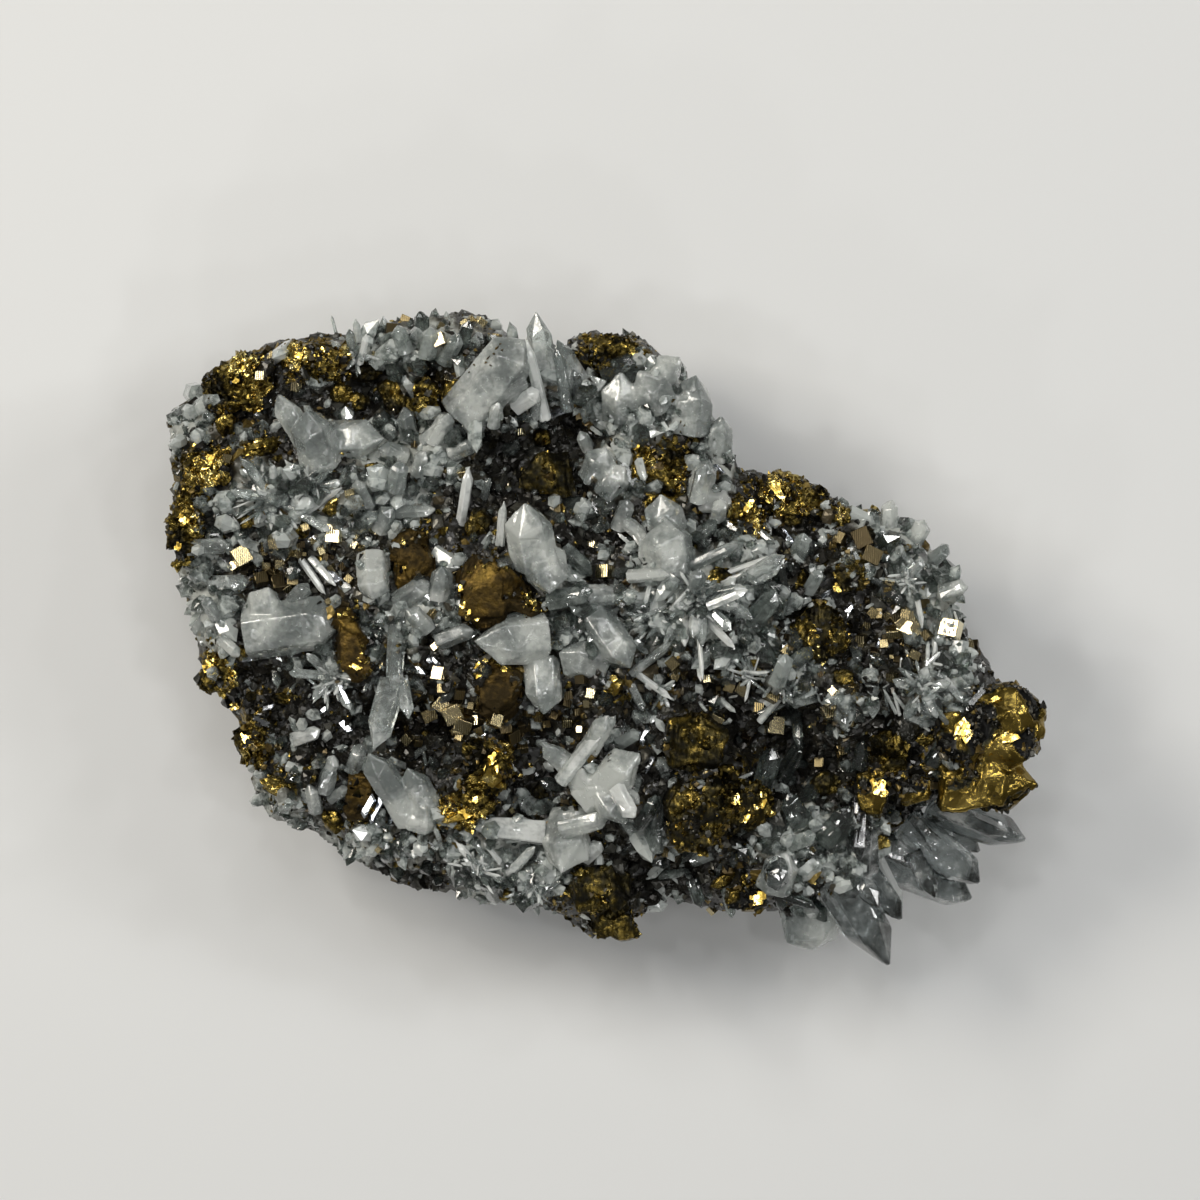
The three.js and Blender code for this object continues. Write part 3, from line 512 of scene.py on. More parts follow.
# How near corners of a solid are welded, in millimetres, when it is remeshed and when it is kept faceted.
FINE_WELD, WELD = 0.001, 0.02
FLAT = math.radians(3)  # faces that meet at less than this are one face
SHARP = 0.35  # edges that turn by more than this, in radians, are worn


def lump(point, size):
    """Smooth noise from -1 to 1 with lumps of the given size in millimetres."""
    return noise.noise(point / (size * MM))


def dome(point, size):
    """Rounded knobs of the given size with creases between them, from 1 on top down to 0."""
    return max(0.0, 1 - noise.voronoi(point / (size * MM))[0][0] ** 2)


def broken_cell(point, size):
    """The middle of the grain of the given size in millimetres that a place belongs to."""
    return noise.voronoi(point / (size * MM))[1][0]


def fractured(point, size):
    """Broken planes of the given size: in each grain the height of a plane that leans its own way."""
    middle = broken_cell(point, size)
    lean = 2 * noise.cell_vector(9 * middle) - Vector((1, 1, 1))
    return lean.dot(point / (size * MM) - middle)


def piece(name, mesh, material, slot, *nodes):
    """Puts a finished mesh in the scene, on the specimen's one body, in place of the named solids."""
    mesh.materials.clear()
    mesh.materials.append(material)
    made = bpy.data.objects.new(name, mesh)
    bpy.context.scene.collection.objects.link(made)
    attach(made, "root")
    if nodes:
        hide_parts(*nodes)
    return made


def remeshed(node, voxel):
    """A copy of a solid's mesh, merged and filled with even small faces of about one voxel."""
    bm = bmesh.new()
    bm.from_mesh(NODES[node].data)
    bmesh.ops.remove_doubles(bm, verts=bm.verts, dist=FINE_WELD * MM)
    source = bpy.data.meshes.new("source")
    bm.to_mesh(source)
    bm.free()
    source.materials.clear()
    holder = bpy.data.objects.new("holder", source)
    bpy.context.scene.collection.objects.link(holder)
    change = holder.modifiers.new("even_faces", "REMESH")
    change.mode = "VOXEL"
    change.voxel_size = voxel * MM
    change.use_smooth_shade = True
    graph = bpy.context.evaluated_depsgraph_get()
    mesh = bpy.data.meshes.new_from_object(holder.evaluated_get(graph))
    bpy.data.objects.remove(holder)
    bpy.data.meshes.remove(source)
    return mesh


def vectors(collection, name):
    """One vector attribute of a mesh's vertices or corners as an array of rows."""
    values = np.empty(len(collection) * 3, np.float32)
    collection.foreach_get(name, values)
    return values.reshape(-1, 3)


def moved(mesh, shift):
    """Moves each vertex along its normal by what shift(index, place, normal) gives, in millimetres."""
    places, ways = vectors(mesh.vertices, "co"), vectors(mesh.vertices, "normal")
    by = np.array([shift(i, Vector(place), way) for i, (place, way) in enumerate(zip(places, ways))])
    mesh.vertices.foreach_set("co", (places + ways * by[:, None] * MM).astype(np.float32).ravel())
    mesh.update()
    return mesh


def tagged(mesh, **values):
    """Gives a mesh named values at its vertices, for its material to read."""
    for name, value in values.items():
        filled = np.broadcast_to(np.asarray(value, np.float32), len(mesh.vertices))
        mesh.attributes.new(name, "FLOAT", "POINT").data.foreach_set("value", np.ascontiguousarray(filled))
    return mesh


BASE_CLEAR = 0.6 * MM  # the sawn base stays flat up to this level
UNDER_BED, FADE = 12, 5  # millimetres above the base where the flank turns into the bed


def broken_rock():
    """The plate: knobs under the druse, pits in the dark zones, stepped breaks on the flank, and a
    flat sawn base."""
    mesh = remeshed("rock", ROCK_VOXEL)
    places = vectors(mesh.vertices, "co")
    druse, dark, ore = (richness(kind, places) for kind in ("druse", "dark", "ore"))
    pale = np.clip((druse - 0.7 * dark) / 3, 0, 1)
    deep = np.clip((dark - 0.5 * druse - 0.5 * ore) / 4, 0, 1)

    def relief(i, place, normal):
        if place.z < BASE_CLEAR:
            return 0.0
        on_bed = max(0.0, min(1.0, (normal[2] + 0.1) / 0.5))
        steps = 0.9 * fractured(place, 5.0) + 0.4 * fractured(place, 1.6)
        break_face = 0.2 - 0.9 * abs(lump(place, 6.0)) + steps
        if on_bed == 0:
            shift = break_face
        else:
            knobs = pale[i] * (1.6 * dome(place, 4.2) - 0.4)
            pits = deep[i] * (2.0 + 1.5 * lump(place, 3.0))
            grown = 0.8 * fractured(place, 2.2) + 0.5 * lump(place, 4.5) + knobs - pits
            shift = on_bed * grown + (1 - on_bed) * break_face
        below_base = place.z + normal[2] * shift * MM < 0
        return 0.0 if below_base else shift

    # Below the bed the zones give way to patches of pale quartz and ore in the dark rock.
    near_bed = np.clip((places[:, 2] / MM - UNDER_BED) / FADE, 0, 1)
    quartz_patch = np.array([lump(Vector(place), 8.0) + 0.7 * lump(Vector(place), 2.0) for place in places])
    ore_patch = np.array([lump(Vector(place) + Vector((1, 2, 3)), 6.0) for place in places])
    moved(mesh, relief)
    brassy = near_bed * np.clip((ore - 0.6 * druse) / 5, 0, 1)
    tagged(
        mesh,
        pale=near_bed * pale + (1 - near_bed) * np.clip(0.15 + 1.4 * quartz_patch, 0, 0.85),
        brassy=brassy + (1 - near_bed) * np.clip(1.2 * ore_patch - 0.1, 0, 0.6),
    )
    return piece("vein_rock_plate", mesh, ROCK, "rock", "rock")


# Crystals with flat faces and worn edges. The other quartz is milky, with uneven faces.
CLEAR_GROUPS = {
    "quartz_bundle_east", "quartz_fan_north", "quartz_prism_far_east", "quartz_prism_west",
    "quartz_star_east", "quartz_star_far_east", "quartz_star_southwest", "quartz_star_west",
    "quartz_stem_west",
}
RIM_GROUPS = {"quartz_fang_southeast", "quartz_prisms_east_rim", "quartz_prisms_southeast_rim"}
CLEAR_WEAR, RIM_WEAR = 0.1, 0.4  # how much of their edges is worn off, in millimetres


def faceted(node, worn):
    """A solid's own flat faces, with its edges worn by the given width in millimetres."""
    bm = bmesh.new()
    bm.from_mesh(NODES[node].data)
    bmesh.ops.remove_doubles(bm, verts=bm.verts, dist=WELD * MM)
    bmesh.ops.dissolve_limit(bm, angle_limit=FLAT, verts=bm.verts, edges=bm.edges)
    sharp = [edge for edge in bm.edges if edge.is_convex and edge.calc_face_angle(0) > SHARP]
    bmesh.ops.bevel(
        bm, geom=sharp, offset=worn * MM, affect="EDGES", segments=2, profile=0.5, material=-1
    )
    bmesh.ops.triangulate(bm, faces=bm.faces)
    mesh = bpy.data.meshes.new(node)
    bm.to_mesh(mesh)
    bm.free()
    return mesh


def uneven(node):
    """A solid with the faces of real growth: low steps, dimples and softened edges."""

    def steps(i, place, normal):
        return 0.16 * fractured(place, 3.2) + 0.04 * lump(place, 1.4)

    return moved(remeshed(node, QUARTZ_VOXEL), steps)


def quartz_crystals():
    """Large quartz: flat faces and worn edges, milky in the middle and clear on the east rim."""
    for node in nodes_of("quartz"):
        if node in RIM_GROUPS:
            mesh, material = faceted(node, RIM_WEAR), RIM_QUARTZ
        elif node in CLEAR_GROUPS:
            mesh, material = faceted(node, CLEAR_WEAR), CLEAR
        else:
            mesh, material = uneven(node), MILKY
        piece(node + "_crystals", tagged(mesh, tone=0.45), material, "quartz", node)


AMBER_MASSES = {
    "chalcopyrite_amber_centre", "chalcopyrite_amber_west", "chalcopyrite_knob_centre",
    "chalcopyrite_stem_west", "chalcopyrite_amber_southwest",
}
OLIVE_MASSES = {
    "chalcopyrite_brown_north", "chalcopyrite_dome_east", "chalcopyrite_olive_south",
    "chalcopyrite_small_east", "chalcopyrite_wedge_east", "chalcopyrite_foot_south",
    "chalcopyrite_mass_south",
}
# Masses with smooth faces that only patches of small crystals cover.
BARE_MASSES = AMBER_MASSES | {
    "chalcopyrite_brown_north", "chalcopyrite_foot_south", "chalcopyrite_olive_south",
}
CLEAVED_MASSES = {"chalcopyrite_east", "chalcopyrite_southeast", "chalcopyrite_edge_south"}
DARK_SHARE = 0.48  # below this golden share a cleaved mass is dark and crusted with grains


def gold_share(place):
    """How golden cleaved ore is at a place: a share for each broken face, and wandering patches."""
    face = 0.5 + 0.5 * noise.cell(9 * broken_cell(place, 4.6))
    return 0.3 * face + 0.7 * (0.5 + 0.8 * lump(place, 3.2))


def chalcopyrite_masses():
    """Massive ore: some smooth and amber or olive, some cleaved flat, some rough and golden."""

    def swollen(i, place, normal):
        return 1.1 * fractured(place, 4.0) + 0.3 * lump(place, 2.6) + 0.1 * fractured(place, 1.2) - 0.3

    def cleaved(i, place, normal):
        sunk = 0.35 if gold_share(place) < DARK_SHARE else 0.0
        return 0.7 * fractured(place, 4.6) + 0.12 * fractured(place, 1.5) - 0.1 - sunk

    def rough(i, place, normal):
        return 1.2 * fractured(place, 3.0) + 0.4 * fractured(place, 1.1) - 0.5

    for node in nodes_of("chalcopyrite"):
        shape, finish = rough, ROUGH_ORE
        if node in AMBER_MASSES:
            shape, finish = swollen, AMBER_ORE
        elif node in OLIVE_MASSES:
            shape, finish = swollen, OLIVE_ORE
        elif node in CLEAVED_MASSES:
            shape, finish = cleaved, CLEAVED_ORE
        mesh = remeshed(node, ORE_VOXEL)
        if finish is CLEAVED_ORE:
            tagged(mesh, tone=[gold_share(Vector(place)) for place in vectors(mesh.vertices, "co")])
        piece(node + "_ore", moved(mesh, shape), finish, "chalcopyrite", node)


def pyrite_cubes():
    """The largest pyrite cubes: crisp, with just their edges worn."""
    for node in nodes_of("pyrite"):
        piece(node + "_grown", tagged(remeshed(node, PYRITE_VOXEL), tone=0.7), PYRITE, "pyrite", node)


rock = broken_rock()
rock_tree = BVHTree.FromObject(rock, bpy.context.evaluated_depsgraph_get())
quartz_crystals()
chalcopyrite_masses()
pyrite_cubes()


# ---- Templates of the small crystals -------------------------------------------------------------


def template(name, shape, seed=0):
    """A unit-size crystal made in a bmesh by shape, kept out of the scene until it is spread."""
    bm = bmesh.new()
    shape(bm, np.random.default_rng(seed))
    bmesh.ops.recalc_face_normals(bm, faces=bm.faces)
    mesh = bpy.data.meshes.new(name)
    bm.to_mesh(mesh)
    bm.free()
    return bpy.data.objects.new(name, mesh)


TAPER = 0.88  # how wide a prism still is under its point
SUNK_ROOT = 0.3  # how far its root goes below the surface, in units of its width
SQUASH = 0.82  # how thick it is for its width


def point_shape(slim, tip):
    """A hexagonal prism one unit wide on its root, slim units long, under a six-sided point."""

    def shape(bm, random):
        shaft = slim - tip
        middle = Matrix.Translation((0, 0, shaft / 2 - SUNK_ROOT))
        depth = shaft + 2 * SUNK_ROOT
        bmesh.ops.create_cone(
            bm, cap_ends=True, segments=6, radius1=0.5, radius2=0.5 * TAPER, depth=depth, matrix=middle
        )
        top = max(bm.faces, key=lambda face: face.calc_center_median().z)
        apex = bmesh.ops.poke(bm, faces=[top], offset=tip)["verts"][0]
        apex.co += Vector((random.uniform(-0.16, 0.16), random.uniform(-0.16, 0.16), 0))
        for vertex in bm.verts:
            if vertex is not apex and vertex.co.z > 0:
                vertex.co.z += random.uniform(-0.2, 0.2) * tip
        bmesh.ops.scale(bm, vec=(1, SQUASH, 1), verts=bm.verts)

    return shape


def worn_point_shape(slim, tip):
    """A larger crystal: the same prism and point with worn edges and uneven faces."""

    def shape(bm, random):
        point_shape(slim, tip)(bm, random)
        bmesh.ops.bevel(
            bm, geom=bm.edges[:], offset=0.04, affect="EDGES", segments=1, profile=0.5, material=-1
        )
        bmesh.ops.subdivide_edges(bm, edges=bm.edges[:], cuts=2, use_grid_fill=True)
        bmesh.ops.triangulate(bm, faces=bm.faces)
        drift = Vector(random.uniform(0, 50, 3))
        bm.normal_update()
        shifts = [0.04 * fractured((vertex.co + drift) * MM, 0.5) for vertex in bm.verts]
        ways = [vertex.normal.copy() for vertex in bm.verts]
        for vertex, way, shift in zip(bm.verts, ways, shifts):
            vertex.co += way * shift

    return shape


def grain_shape(corners):
    """The hull of a few corners on a ball: a cleaved grain."""

    def shape(bm, random):
        for _ in range(corners):
            way = Vector(random.normal(size=3)).normalized() * random.uniform(0.4, 0.55)
            bmesh.ops.create_vert(bm, co=way)
        hull = bmesh.ops.convex_hull(bm, input=bm.verts)
        loose = [v for v in hull["geom_interior"] if isinstance(v, bmesh.types.BMVert)]
        bmesh.ops.delete(bm, geom=loose, context="VERTS")

    return shape


def cube_shape(bm, random):
    """A cube with worn edges and slightly unequal sides."""
    bmesh.ops.create_cube(bm, size=0.9)
    bmesh.ops.bevel(
        bm, geom=bm.edges[:], offset=0.03, affect="EDGES", segments=1, profile=0.5, material=-1
    )
    bmesh.ops.scale(bm, vec=random.uniform(0.85, 1.1, 3), verts=bm.verts)


def blade_shape(bm, random):
    """A flat cleavage blade along X with a stepped edge."""
    bmesh.ops.create_cube(bm, size=1)
    bmesh.ops.bevel(
        bm, geom=bm.edges[:], offset=0.12, affect="EDGES", segments=1, profile=0.5, material=-1
    )
    for vertex in bm.verts:
        vertex.co.x += 0.2 * vertex.co.y


def knob_shape(bm, random):
    """A lump of broken ore with flat, leaning faces."""
    bmesh.ops.create_icosphere(bm, subdivisions=4, radius=1)
    drift = Vector(random.uniform(0, 50, 3))
    for vertex in bm.verts:
        place = (vertex.co + drift) * MM
        vertex.co *= 0.9 + 0.3 * fractured(place, 0.9) + 0.15 * lump(place, 0.5)


def plate_shape(bm, random):
    """A cleavage face: a thin plate with a broken, many-sided edge."""
    bmesh.ops.create_circle(bm, cap_ends=True, radius=0.5, segments=13)
    for vertex in bm.verts:
        vertex.co *= random.uniform(0.45, 1.15)
    walls = bmesh.ops.extrude_face_region(bm, geom=bm.faces[:])["geom"]
    raised = [item for item in walls if isinstance(item, bmesh.types.BMVert)]
    bmesh.ops.translate(bm, vec=(0, 0, 0.3), verts=raised)


def sphenoid_shape(bm, random):
    """The wedge-like chalcopyrite crystal: four faces with the corners cut."""
    bmesh.ops.create_cone(bm, cap_ends=True, segments=3, radius1=0.62, radius2=0.0, depth=0.9)
    bmesh.ops.remove_doubles(bm, verts=bm.verts, dist=0.001)
    bmesh.ops.bevel(
        bm, geom=bm.verts[:], offset=0.14, affect="VERTICES", segments=1, profile=0.5, material=-1
    )


STUBBY_LENGTH, PRISM_LENGTH, NEEDLE_LENGTH = 1.15, 2.4, 5.5  # in widths
STUBBY = [template("stubby_point", point_shape(STUBBY_LENGTH, 0.5), seed) for seed in range(5)]
DRUSE_KINDS = STUBBY + [template("quartz_chip", grain_shape(12), 20)]
PRISMS = [template("prism", worn_point_shape(PRISM_LENGTH, 0.7), seed) for seed in range(6)]
NEEDLES = [template("needle", point_shape(NEEDLE_LENGTH, 0.9), seed) for seed in range(3)]
GRAINS = [template("grain", grain_shape(11), seed) for seed in range(4)]
SPHENOIDS = [template("sphenoid", sphenoid_shape, seed) for seed in range(2)] + GRAINS[:2]
CUBES = [template("cube", cube_shape, seed) for seed in range(3)]
BLADES = [template("blade", blade_shape)]
KNOBS = [template("knob", knob_shape, seed) for seed in range(4)]
PLATES = [template("plate", plate_shape, seed) for seed in range(40, 44)]


# ---- Setting crystals ----------------------------------------------------------------------------


def spread(name, templates, places, ways, sizes, tones, material, slot, seed, spins=None):
    """Sets a crystal at each place, with its length along its way, and joins them all in one mesh.
    Without spins, chance turns each crystal about its length."""
    random = np.random.default_rng(seed)
    if spins is None:
        spins = random.uniform(0, math.tau, len(places))
    turns = []
    for way, spin in zip(ways, spins):
        turn = Vector(way).to_track_quat("Z", "X") @ Quaternion((0, 0, 1), spin)
        turns.append(turn.to_euler())
    mesh = bpy.data.meshes.new(name)
    mesh.from_pydata(places.tolist(), [], [])
    for label, values in (("turn", np.array(turns)), ("size", sizes * MM)):
        rows = values.astype(np.float32).ravel()
        mesh.attributes.new(label, "FLOAT_VECTOR", "POINT").data.foreach_set("vector", rows)
    tagged(mesh, tone=tones)
    holder = bpy.data.objects.new("holder", mesh)
    bpy.context.scene.collection.objects.link(holder)
    kinds = bpy.data.collections.new(name + "_kinds")
    for kind in templates:
        kinds.objects.link(kind)

    tree = bpy.data.node_groups.new(name, "GeometryNodeTree")
    tree.interface.new_socket("Geometry", in_out="INPUT", socket_type="NodeSocketGeometry")
    tree.interface.new_socket("Geometry", in_out="OUTPUT", socket_type="NodeSocketGeometry")
    source = add(tree, "NodeGroupInput")
    turn = add(tree, "GeometryNodeInputNamedAttribute", {"Name": "turn"}, data_type="FLOAT_VECTOR")
    size = add(tree, "GeometryNodeInputNamedAttribute", {"Name": "size"}, data_type="FLOAT_VECTOR")
    rotation = add(tree, "FunctionNodeEulerToRotation", {0: turn})
    copies = add(tree, "GeometryNodeCollectionInfo", {"Collection": kinds, "Separate Children": True})
    placed = add(tree, "GeometryNodeInstanceOnPoints", {
        "Points": source, "Instance": copies, "Pick Instance": True, "Rotation": rotation, "Scale": size,
    })
    solid = add(tree, "GeometryNodeRealizeInstances", {0: placed})
    fill(tree, tree.nodes.new("NodeGroupOutput"), {0: solid})
    change = holder.modifiers.new("spread", "NODES")
    change.node_group = tree
    graph = bpy.context.evaluated_depsgraph_get()
    result = bpy.data.meshes.new_from_object(holder.evaluated_get(graph))
    result.name = name
    bpy.data.objects.remove(holder)
    bpy.data.collections.remove(kinds)
    for label in ("turn", "size"):
        if label in result.attributes:
            result.attributes.remove(result.attributes[label])
    return piece(name, result, material, slot)


def joined_tree(meshes):
    """One search tree over several meshes."""
    bm = bmesh.new()
    for mesh in meshes:
        bm.from_mesh(mesh)
    tree = BVHTree.FromBMesh(bm)
    bm.free()
    return tree


def on_bed(rows, lift=0.0, tree=None):
    """The places on the rock, or on the pieces of another search tree, below each row's x and y, in
    millimetres about the middle of the bed. Past its edge that is the nearest place on the rim."""
    found = []
    for row in rows:
        above = BED_MIDDLE + Vector((row[0], row[1], 60)) * MM
        hit = (tree or rock_tree).ray_cast(above, Vector((0, 0, -1)))[0]
        if hit is None:
            hit = rock_tree.find_nearest(above + Vector((0, 0, -40)) * MM)[0]
        found.append(hit + Vector((0, 0, lift * MM)))
    return np.array(found)


def raised(places, by):
    """Places moved up, each by its own number of millimetres."""
    return places + np.outer(by * MM, (0, 0, 1))


# ---- Quartz of 2 to 9 mm, listed one by one: x, y, heading, rise, length, width ------------------

CLEAR_PRISMS = [
    (-17.2, 15.8, 81, 12, 6.2, 1.8), (-14.4, 18.4, 75, 40, 2.6, 1.5), (-12.4, 12.9, 85, 14, 4.8, 1.3),
    (-40.4, 20.6, 118, 25, 2.6, 0.6), (-38.3, 20.6, 118, 25, 2.6, 0.6), (-37, 20, 36, 15, 5, 1.2),
    (-43.6, 20.4, 118, 20, 3.4, 0.8), (-31, 36, 100, 30, 3.6, 1.4), (-30, 35.5, 75, 30, 3.6, 1.2),
    (-32, 35.6, 130, 25, 3.2, 1.2), (-30.6, 37.5, 92, 20, 3.2, 1.4), (-36.8, 9.2, -55, 14, 4.8, 1.3),
    (-35.6, 9.6, -48, 18, 4.2, 1.1), (-38.6, 4.4, 52, 26, 3.8, 2.6), (-50.6, 11.6, 4, 10, 4.6, 2.8),
    (12.8, 5.4, 12, 14, 6.4, 1.5), (15.2, 5, -30, 16, 5, 1.8), (12.6, 4, -88, 20, 5.4, 2),
    (19.6, 13.9, -42, 22, 3.4, 1.4), (20.4, 15, -60, 30, 2.6, 1), (5.4, -4.8, -36, 14, 4.8, 1.2),
    (4.2, -6.4, -62, 22, 3.2, 1.5), (12.2, -2.2, -84, 22, 3.4, 0.7), (19.6, -7.7, 2, 14, 3.8, 0.8),
    (20.6, -9.6, 50, 18, 4, 1), (42, -0.4, -92, 22, 2.8, 1), (43.8, -5.6, -52, 22, 3.2, 1.3),
    (35.2, 7.2, -22, 14, 4.2, 1), (39.4, 8.4, 60, 35, 2.6, 1.7), (36.8, -8.6, 118, 22, 3.2, 0.5),
    (37.4, -8.8, 105, 24, 3, 0.5), (38.2, -8.6, 128, 24, 3, 0.5), (36, -8.4, 98, 26, 2.8, 0.5),
    (-22.8, -14.2, 42, 18, 3.2, 1.2), (-30.8, -15.6, 70, 40, 3.4, 2.8), (-34.2, -16.6, 60, 38, 3, 2.4),
    (-37.9, -12.4, 20, 28, 3.4, 2.2), (-10.9, -28.8, 46, 16, 4.4, 1.4), (-9.1, -31.6, 82, 22, 3.6, 0.9),
    (-8, -31.6, 62, 26, 3.2, 0.8), (-7.6, -32, 34, 22, 3.6, 0.9), (-6.6, -31.4, 48, 30, 2.8, 0.8),
    (-17.2, -32, 112, 26, 3, 0.8), (-16.4, -31.6, 95, 32, 2.6, 0.7), (-15.4, -28.6, 128, 16, 4.6, 1.3),
    (-13.8, -28.4, 122, 18, 4.4, 1.2), (-13, -27.4, 128, 26, 3, 1), (-1.6, -27, 40, 30, 3, 2.4),
    (-36.6, -2.8, 160, 16, 3.4, 0.7), (-34.4, -2.6, 118, 20, 3, 0.6), (3.4, 3.6, 20, 20, 3.6, 0.8),
    (7.4, 3.8, 205, 22, 4, 0.8), (8, 2.6, 228, 22, 3.8, 0.9), (9, 2, 250, 24, 3.6, 0.9),
    (-10, 29.6, 30, 34, 3.4, 2.8), (-5.4, 33.4, 100, 20, 4.4, 1.2), (-3.4, 35.2, 80, 12, 2.6, 1.2),
]
MILKY_PRISMS = [
    (-8.2, 28.4, 80, 26, 3.2, 1.5), (-24.6, 16, 2, 14, 4.4, 2.2), (-24.2, 5.2, 35, 28, 4.4, 3.6),
    (-20, 6, 80, 22, 3.8, 3.2), (-22, 1.8, 130, 26, 3.4, 2.8), (-19.2, 0.2, 20, 22, 4.2, 3.2),
    (2.6, 14.8, 70, 28, 3.4, 3), (4.6, 13.6, 140, 26, 2.6, 2.2), (11.9, 6.4, 80, 38, 3.2, 2.6),
    (12.2, 9.7, 24, 16, 6.1, 2.2), (-34.4, -18.4, 75, 28, 3.2, 2.6), (-35.8, -20.8, 100, 28, 3.2, 2.6),
    (-33.4, -19.6, 30, 32, 2.6, 2), (2.8, -18.6, -38, 22, 3.2, 2.2), (-50.2, 1.6, 60, 32, 3.2, 2.6),
    (-48.4, 3.4, 120, 32, 2.8, 2.4), (-47, -0.4, -40, 30, 2.8, 2.2), (-27.4, 14.4, 60, 32, 3.2, 2.8),
    (-29.4, 17.6, 110, 32, 3.2, 2.6), (-25.4, 19.4, 80, 32, 3.4, 2.8), (-22.8, 21.4, 70, 32, 3, 2.4),
    (-24, 26, 100, 28, 3.6, 3), (-20.4, 25.6, 60, 28, 3.8, 3.2), (-17.8, 23.6, 20, 32, 3.4, 2.8),
    (-25, 23.2, 160, 28, 3.2, 2.6), (36.4, 14.6, 90, 26, 3.4, 3), (39.6, 12.6, 60, 22, 3.2, 2.8),
    (41.8, 10, 40, 22, 3, 2.6), (43.4, 6, 20, 20, 3, 2.4), (-1.6, 24.4, 120, 35, 2.4, 2),
]
SMOKY_PRISMS = [
    (-3.6, 10.6, -40, 22, 4, 3), (19.6, 3, 50, 24, 4.6, 3.8), (26.4, 6.6, 60, 28, 3, 2.4),
    (22.6, 7.4, 100, 30, 2.8, 2), (-5.2, 5.2, 10, 20, 4.8, 3.4), (24.6, -9, -84, 22, 5.4, 1.6),
    (24.4, -25.4, 20, 28, 3.2, 2.4), (8.4, -29.7, 6, 10, 3.8, 1.6), (11.8, -31, -72, 6, 3.2, 1.8),
    (16, -32, -78, 6, 3.2, 1.8), (26, -33, -40, 10, 4, 2.6), (24, -32.4, -20, 12, 3.6, 2),
    (32.6, -15.4, 80, 22, 3.2, 2.2), (42.2, -14.8, 60, 26, 4.2, 2.8), (44, -13, -50, 22, 3.2, 2.4),
    (41.2, -22.4, 100, 32, 3.2, 2.4), (46.4, -8.8, 20, 14, 3.6, 2.2), (38.6, -4.6, 100, 32, 3.2, 2),
    (6.8, -25, 85, 14, 6, 3.4), (5.4, -22.6, 60, 22, 4, 2.6), (20.4, -18.6, 75, 16, 6, 3.6),
    (23.4, -16.6, 60, 14, 5, 3), (3, -12.6, 30, 38, 3, 2.4), (-5.4, -18.2, 170, 32, 2.6, 2),
    (22.4, -4.6, 70, 32, 3.6, 3), (24.4, -2.8, 40, 30, 3.2, 2.6), (21, -2.2, 120, 30, 3, 2.4),
    (28.8, -24.6, 50, 18, 5, 4), (25, -22.4, 120, 22, 4, 3.4), (-21.6, 36.2, 80, 26, 3.6, 2.6),
    (-19.2, 35.4, 60, 26, 3.8, 2.4), (-24.6, 36.8, 110, 26, 3.2, 2.4), (-17.4, 37, 70, 22, 3.6, 2),
    (-22.4, 38.6, 90, 16, 3, 2.2), (12.6, 13.2, 40, 32, 3, 2.6), (25, 11.2, 70, 32, 2.8, 2.6),
    (9.6, -26.2, 130, 28, 2.6, 2), (12.2, -27.6, 20, 20, 3, 2),
]

# The same on top of larger crystals and ore.
HIGH_PRISMS = [
    (-4.3, 30.4, 99, 16, 7.3, 2.1), (-7.3, 29.6, 104, 14, 8.8, 1.8), (-2.7, 30.9, 100, 24, 3.6, 1.7),
    (-3.6, -16, 52, 16, 9.2, 2.1), (5, -3.4, 38, 18, 5.6, 1.6), (-8.8, -24, 174, 8, 7.4, 3.4),
    (2.4, -19.2, -60, 20, 3.8, 2.8), (-36, 16.4, 36, 12, 5, 1.3), (4.2, 5.3, 183, 8, 7.4, 2),
    (12.4, 0.4, -86, 20, 6, 0.9), (14.2, 1.6, -46, 16, 4, 1.4), (10.8, 1.8, -98, 22, 3, 1.1),
    (14.4, 4.6, 22, 14, 4.6, 1.3), (13.4, 10, 26, 12, 5.4, 1.8), (16.6, 7.6, 18, 12, 6.2, 1.1),
    (17, 8.8, 20, 12, 5.4, 1), (21.4, -7.6, 38, 18, 3.4, 1), (20.6, -9, 20, 14, 3, 1.1),
    (35, 7.4, -26, 16, 4.2, 1.1), (39.8, 5, -80, 20, 4, 1),
]
HIGH_SMOKY = [
    (32.7, -21.6, -92, 16, 6.6, 3.3), (22, -28.9, -80, 70, 3.4, 3.9), (35.4, -28.6, -63, 5, 6.4, 2.4),
    (40, -28, -64, 6, 5.4, 3), (44.8, -21.8, -24, 5, 7.6, 2.8),
]
HIGH_MILKY = [
    (-13.2, 27.2, 80, 30, 3, 1.8), (-21.4, 25.4, 40, 30, 3, 2.6), (-3.6, -23.4, 14, 14, 5.2, 3.4),
    (14.8, 15.8, 80, 45, 2.2, 2.8), (5.2, 12.8, -58, 30, 4.2, 2.4), (4.6, 8, 4, 18, 4.6, 2.3),
    (12.4, 18.4, 80, 30, 4.4, 3),
]

# Radiating bunches of needles: x, y, how many, length and width.
BUNCHES = [
    (-41, 17.8, 60, 5.2, 0.5), (12.4, 5.2, 46, 4.4, 0.6), (40, -6, 34, 3.4, 0.5),
    (-33.6, -4.6, 40, 3.6, 0.45), (-30.8, 35.4, 22, 2.5, 0.5), (-8.4, -31, 22, 3, 0.45),
    (-15, -28.8, 24, 3.4, 0.5), (6.4, 2.6, 26, 3.2, 0.45), (18.6, -4.2, 26, 3.4, 0.45),
    (23.4, -6.4, 20, 2.8, 0.45), (38, 7.4, 24, 2.8, 0.45), (7.4, -6.4, 18, 3, 0.5),
    (-35.8, 19.6, 20, 3, 0.45), (44, 2, 14, 2.4, 0.45),
]


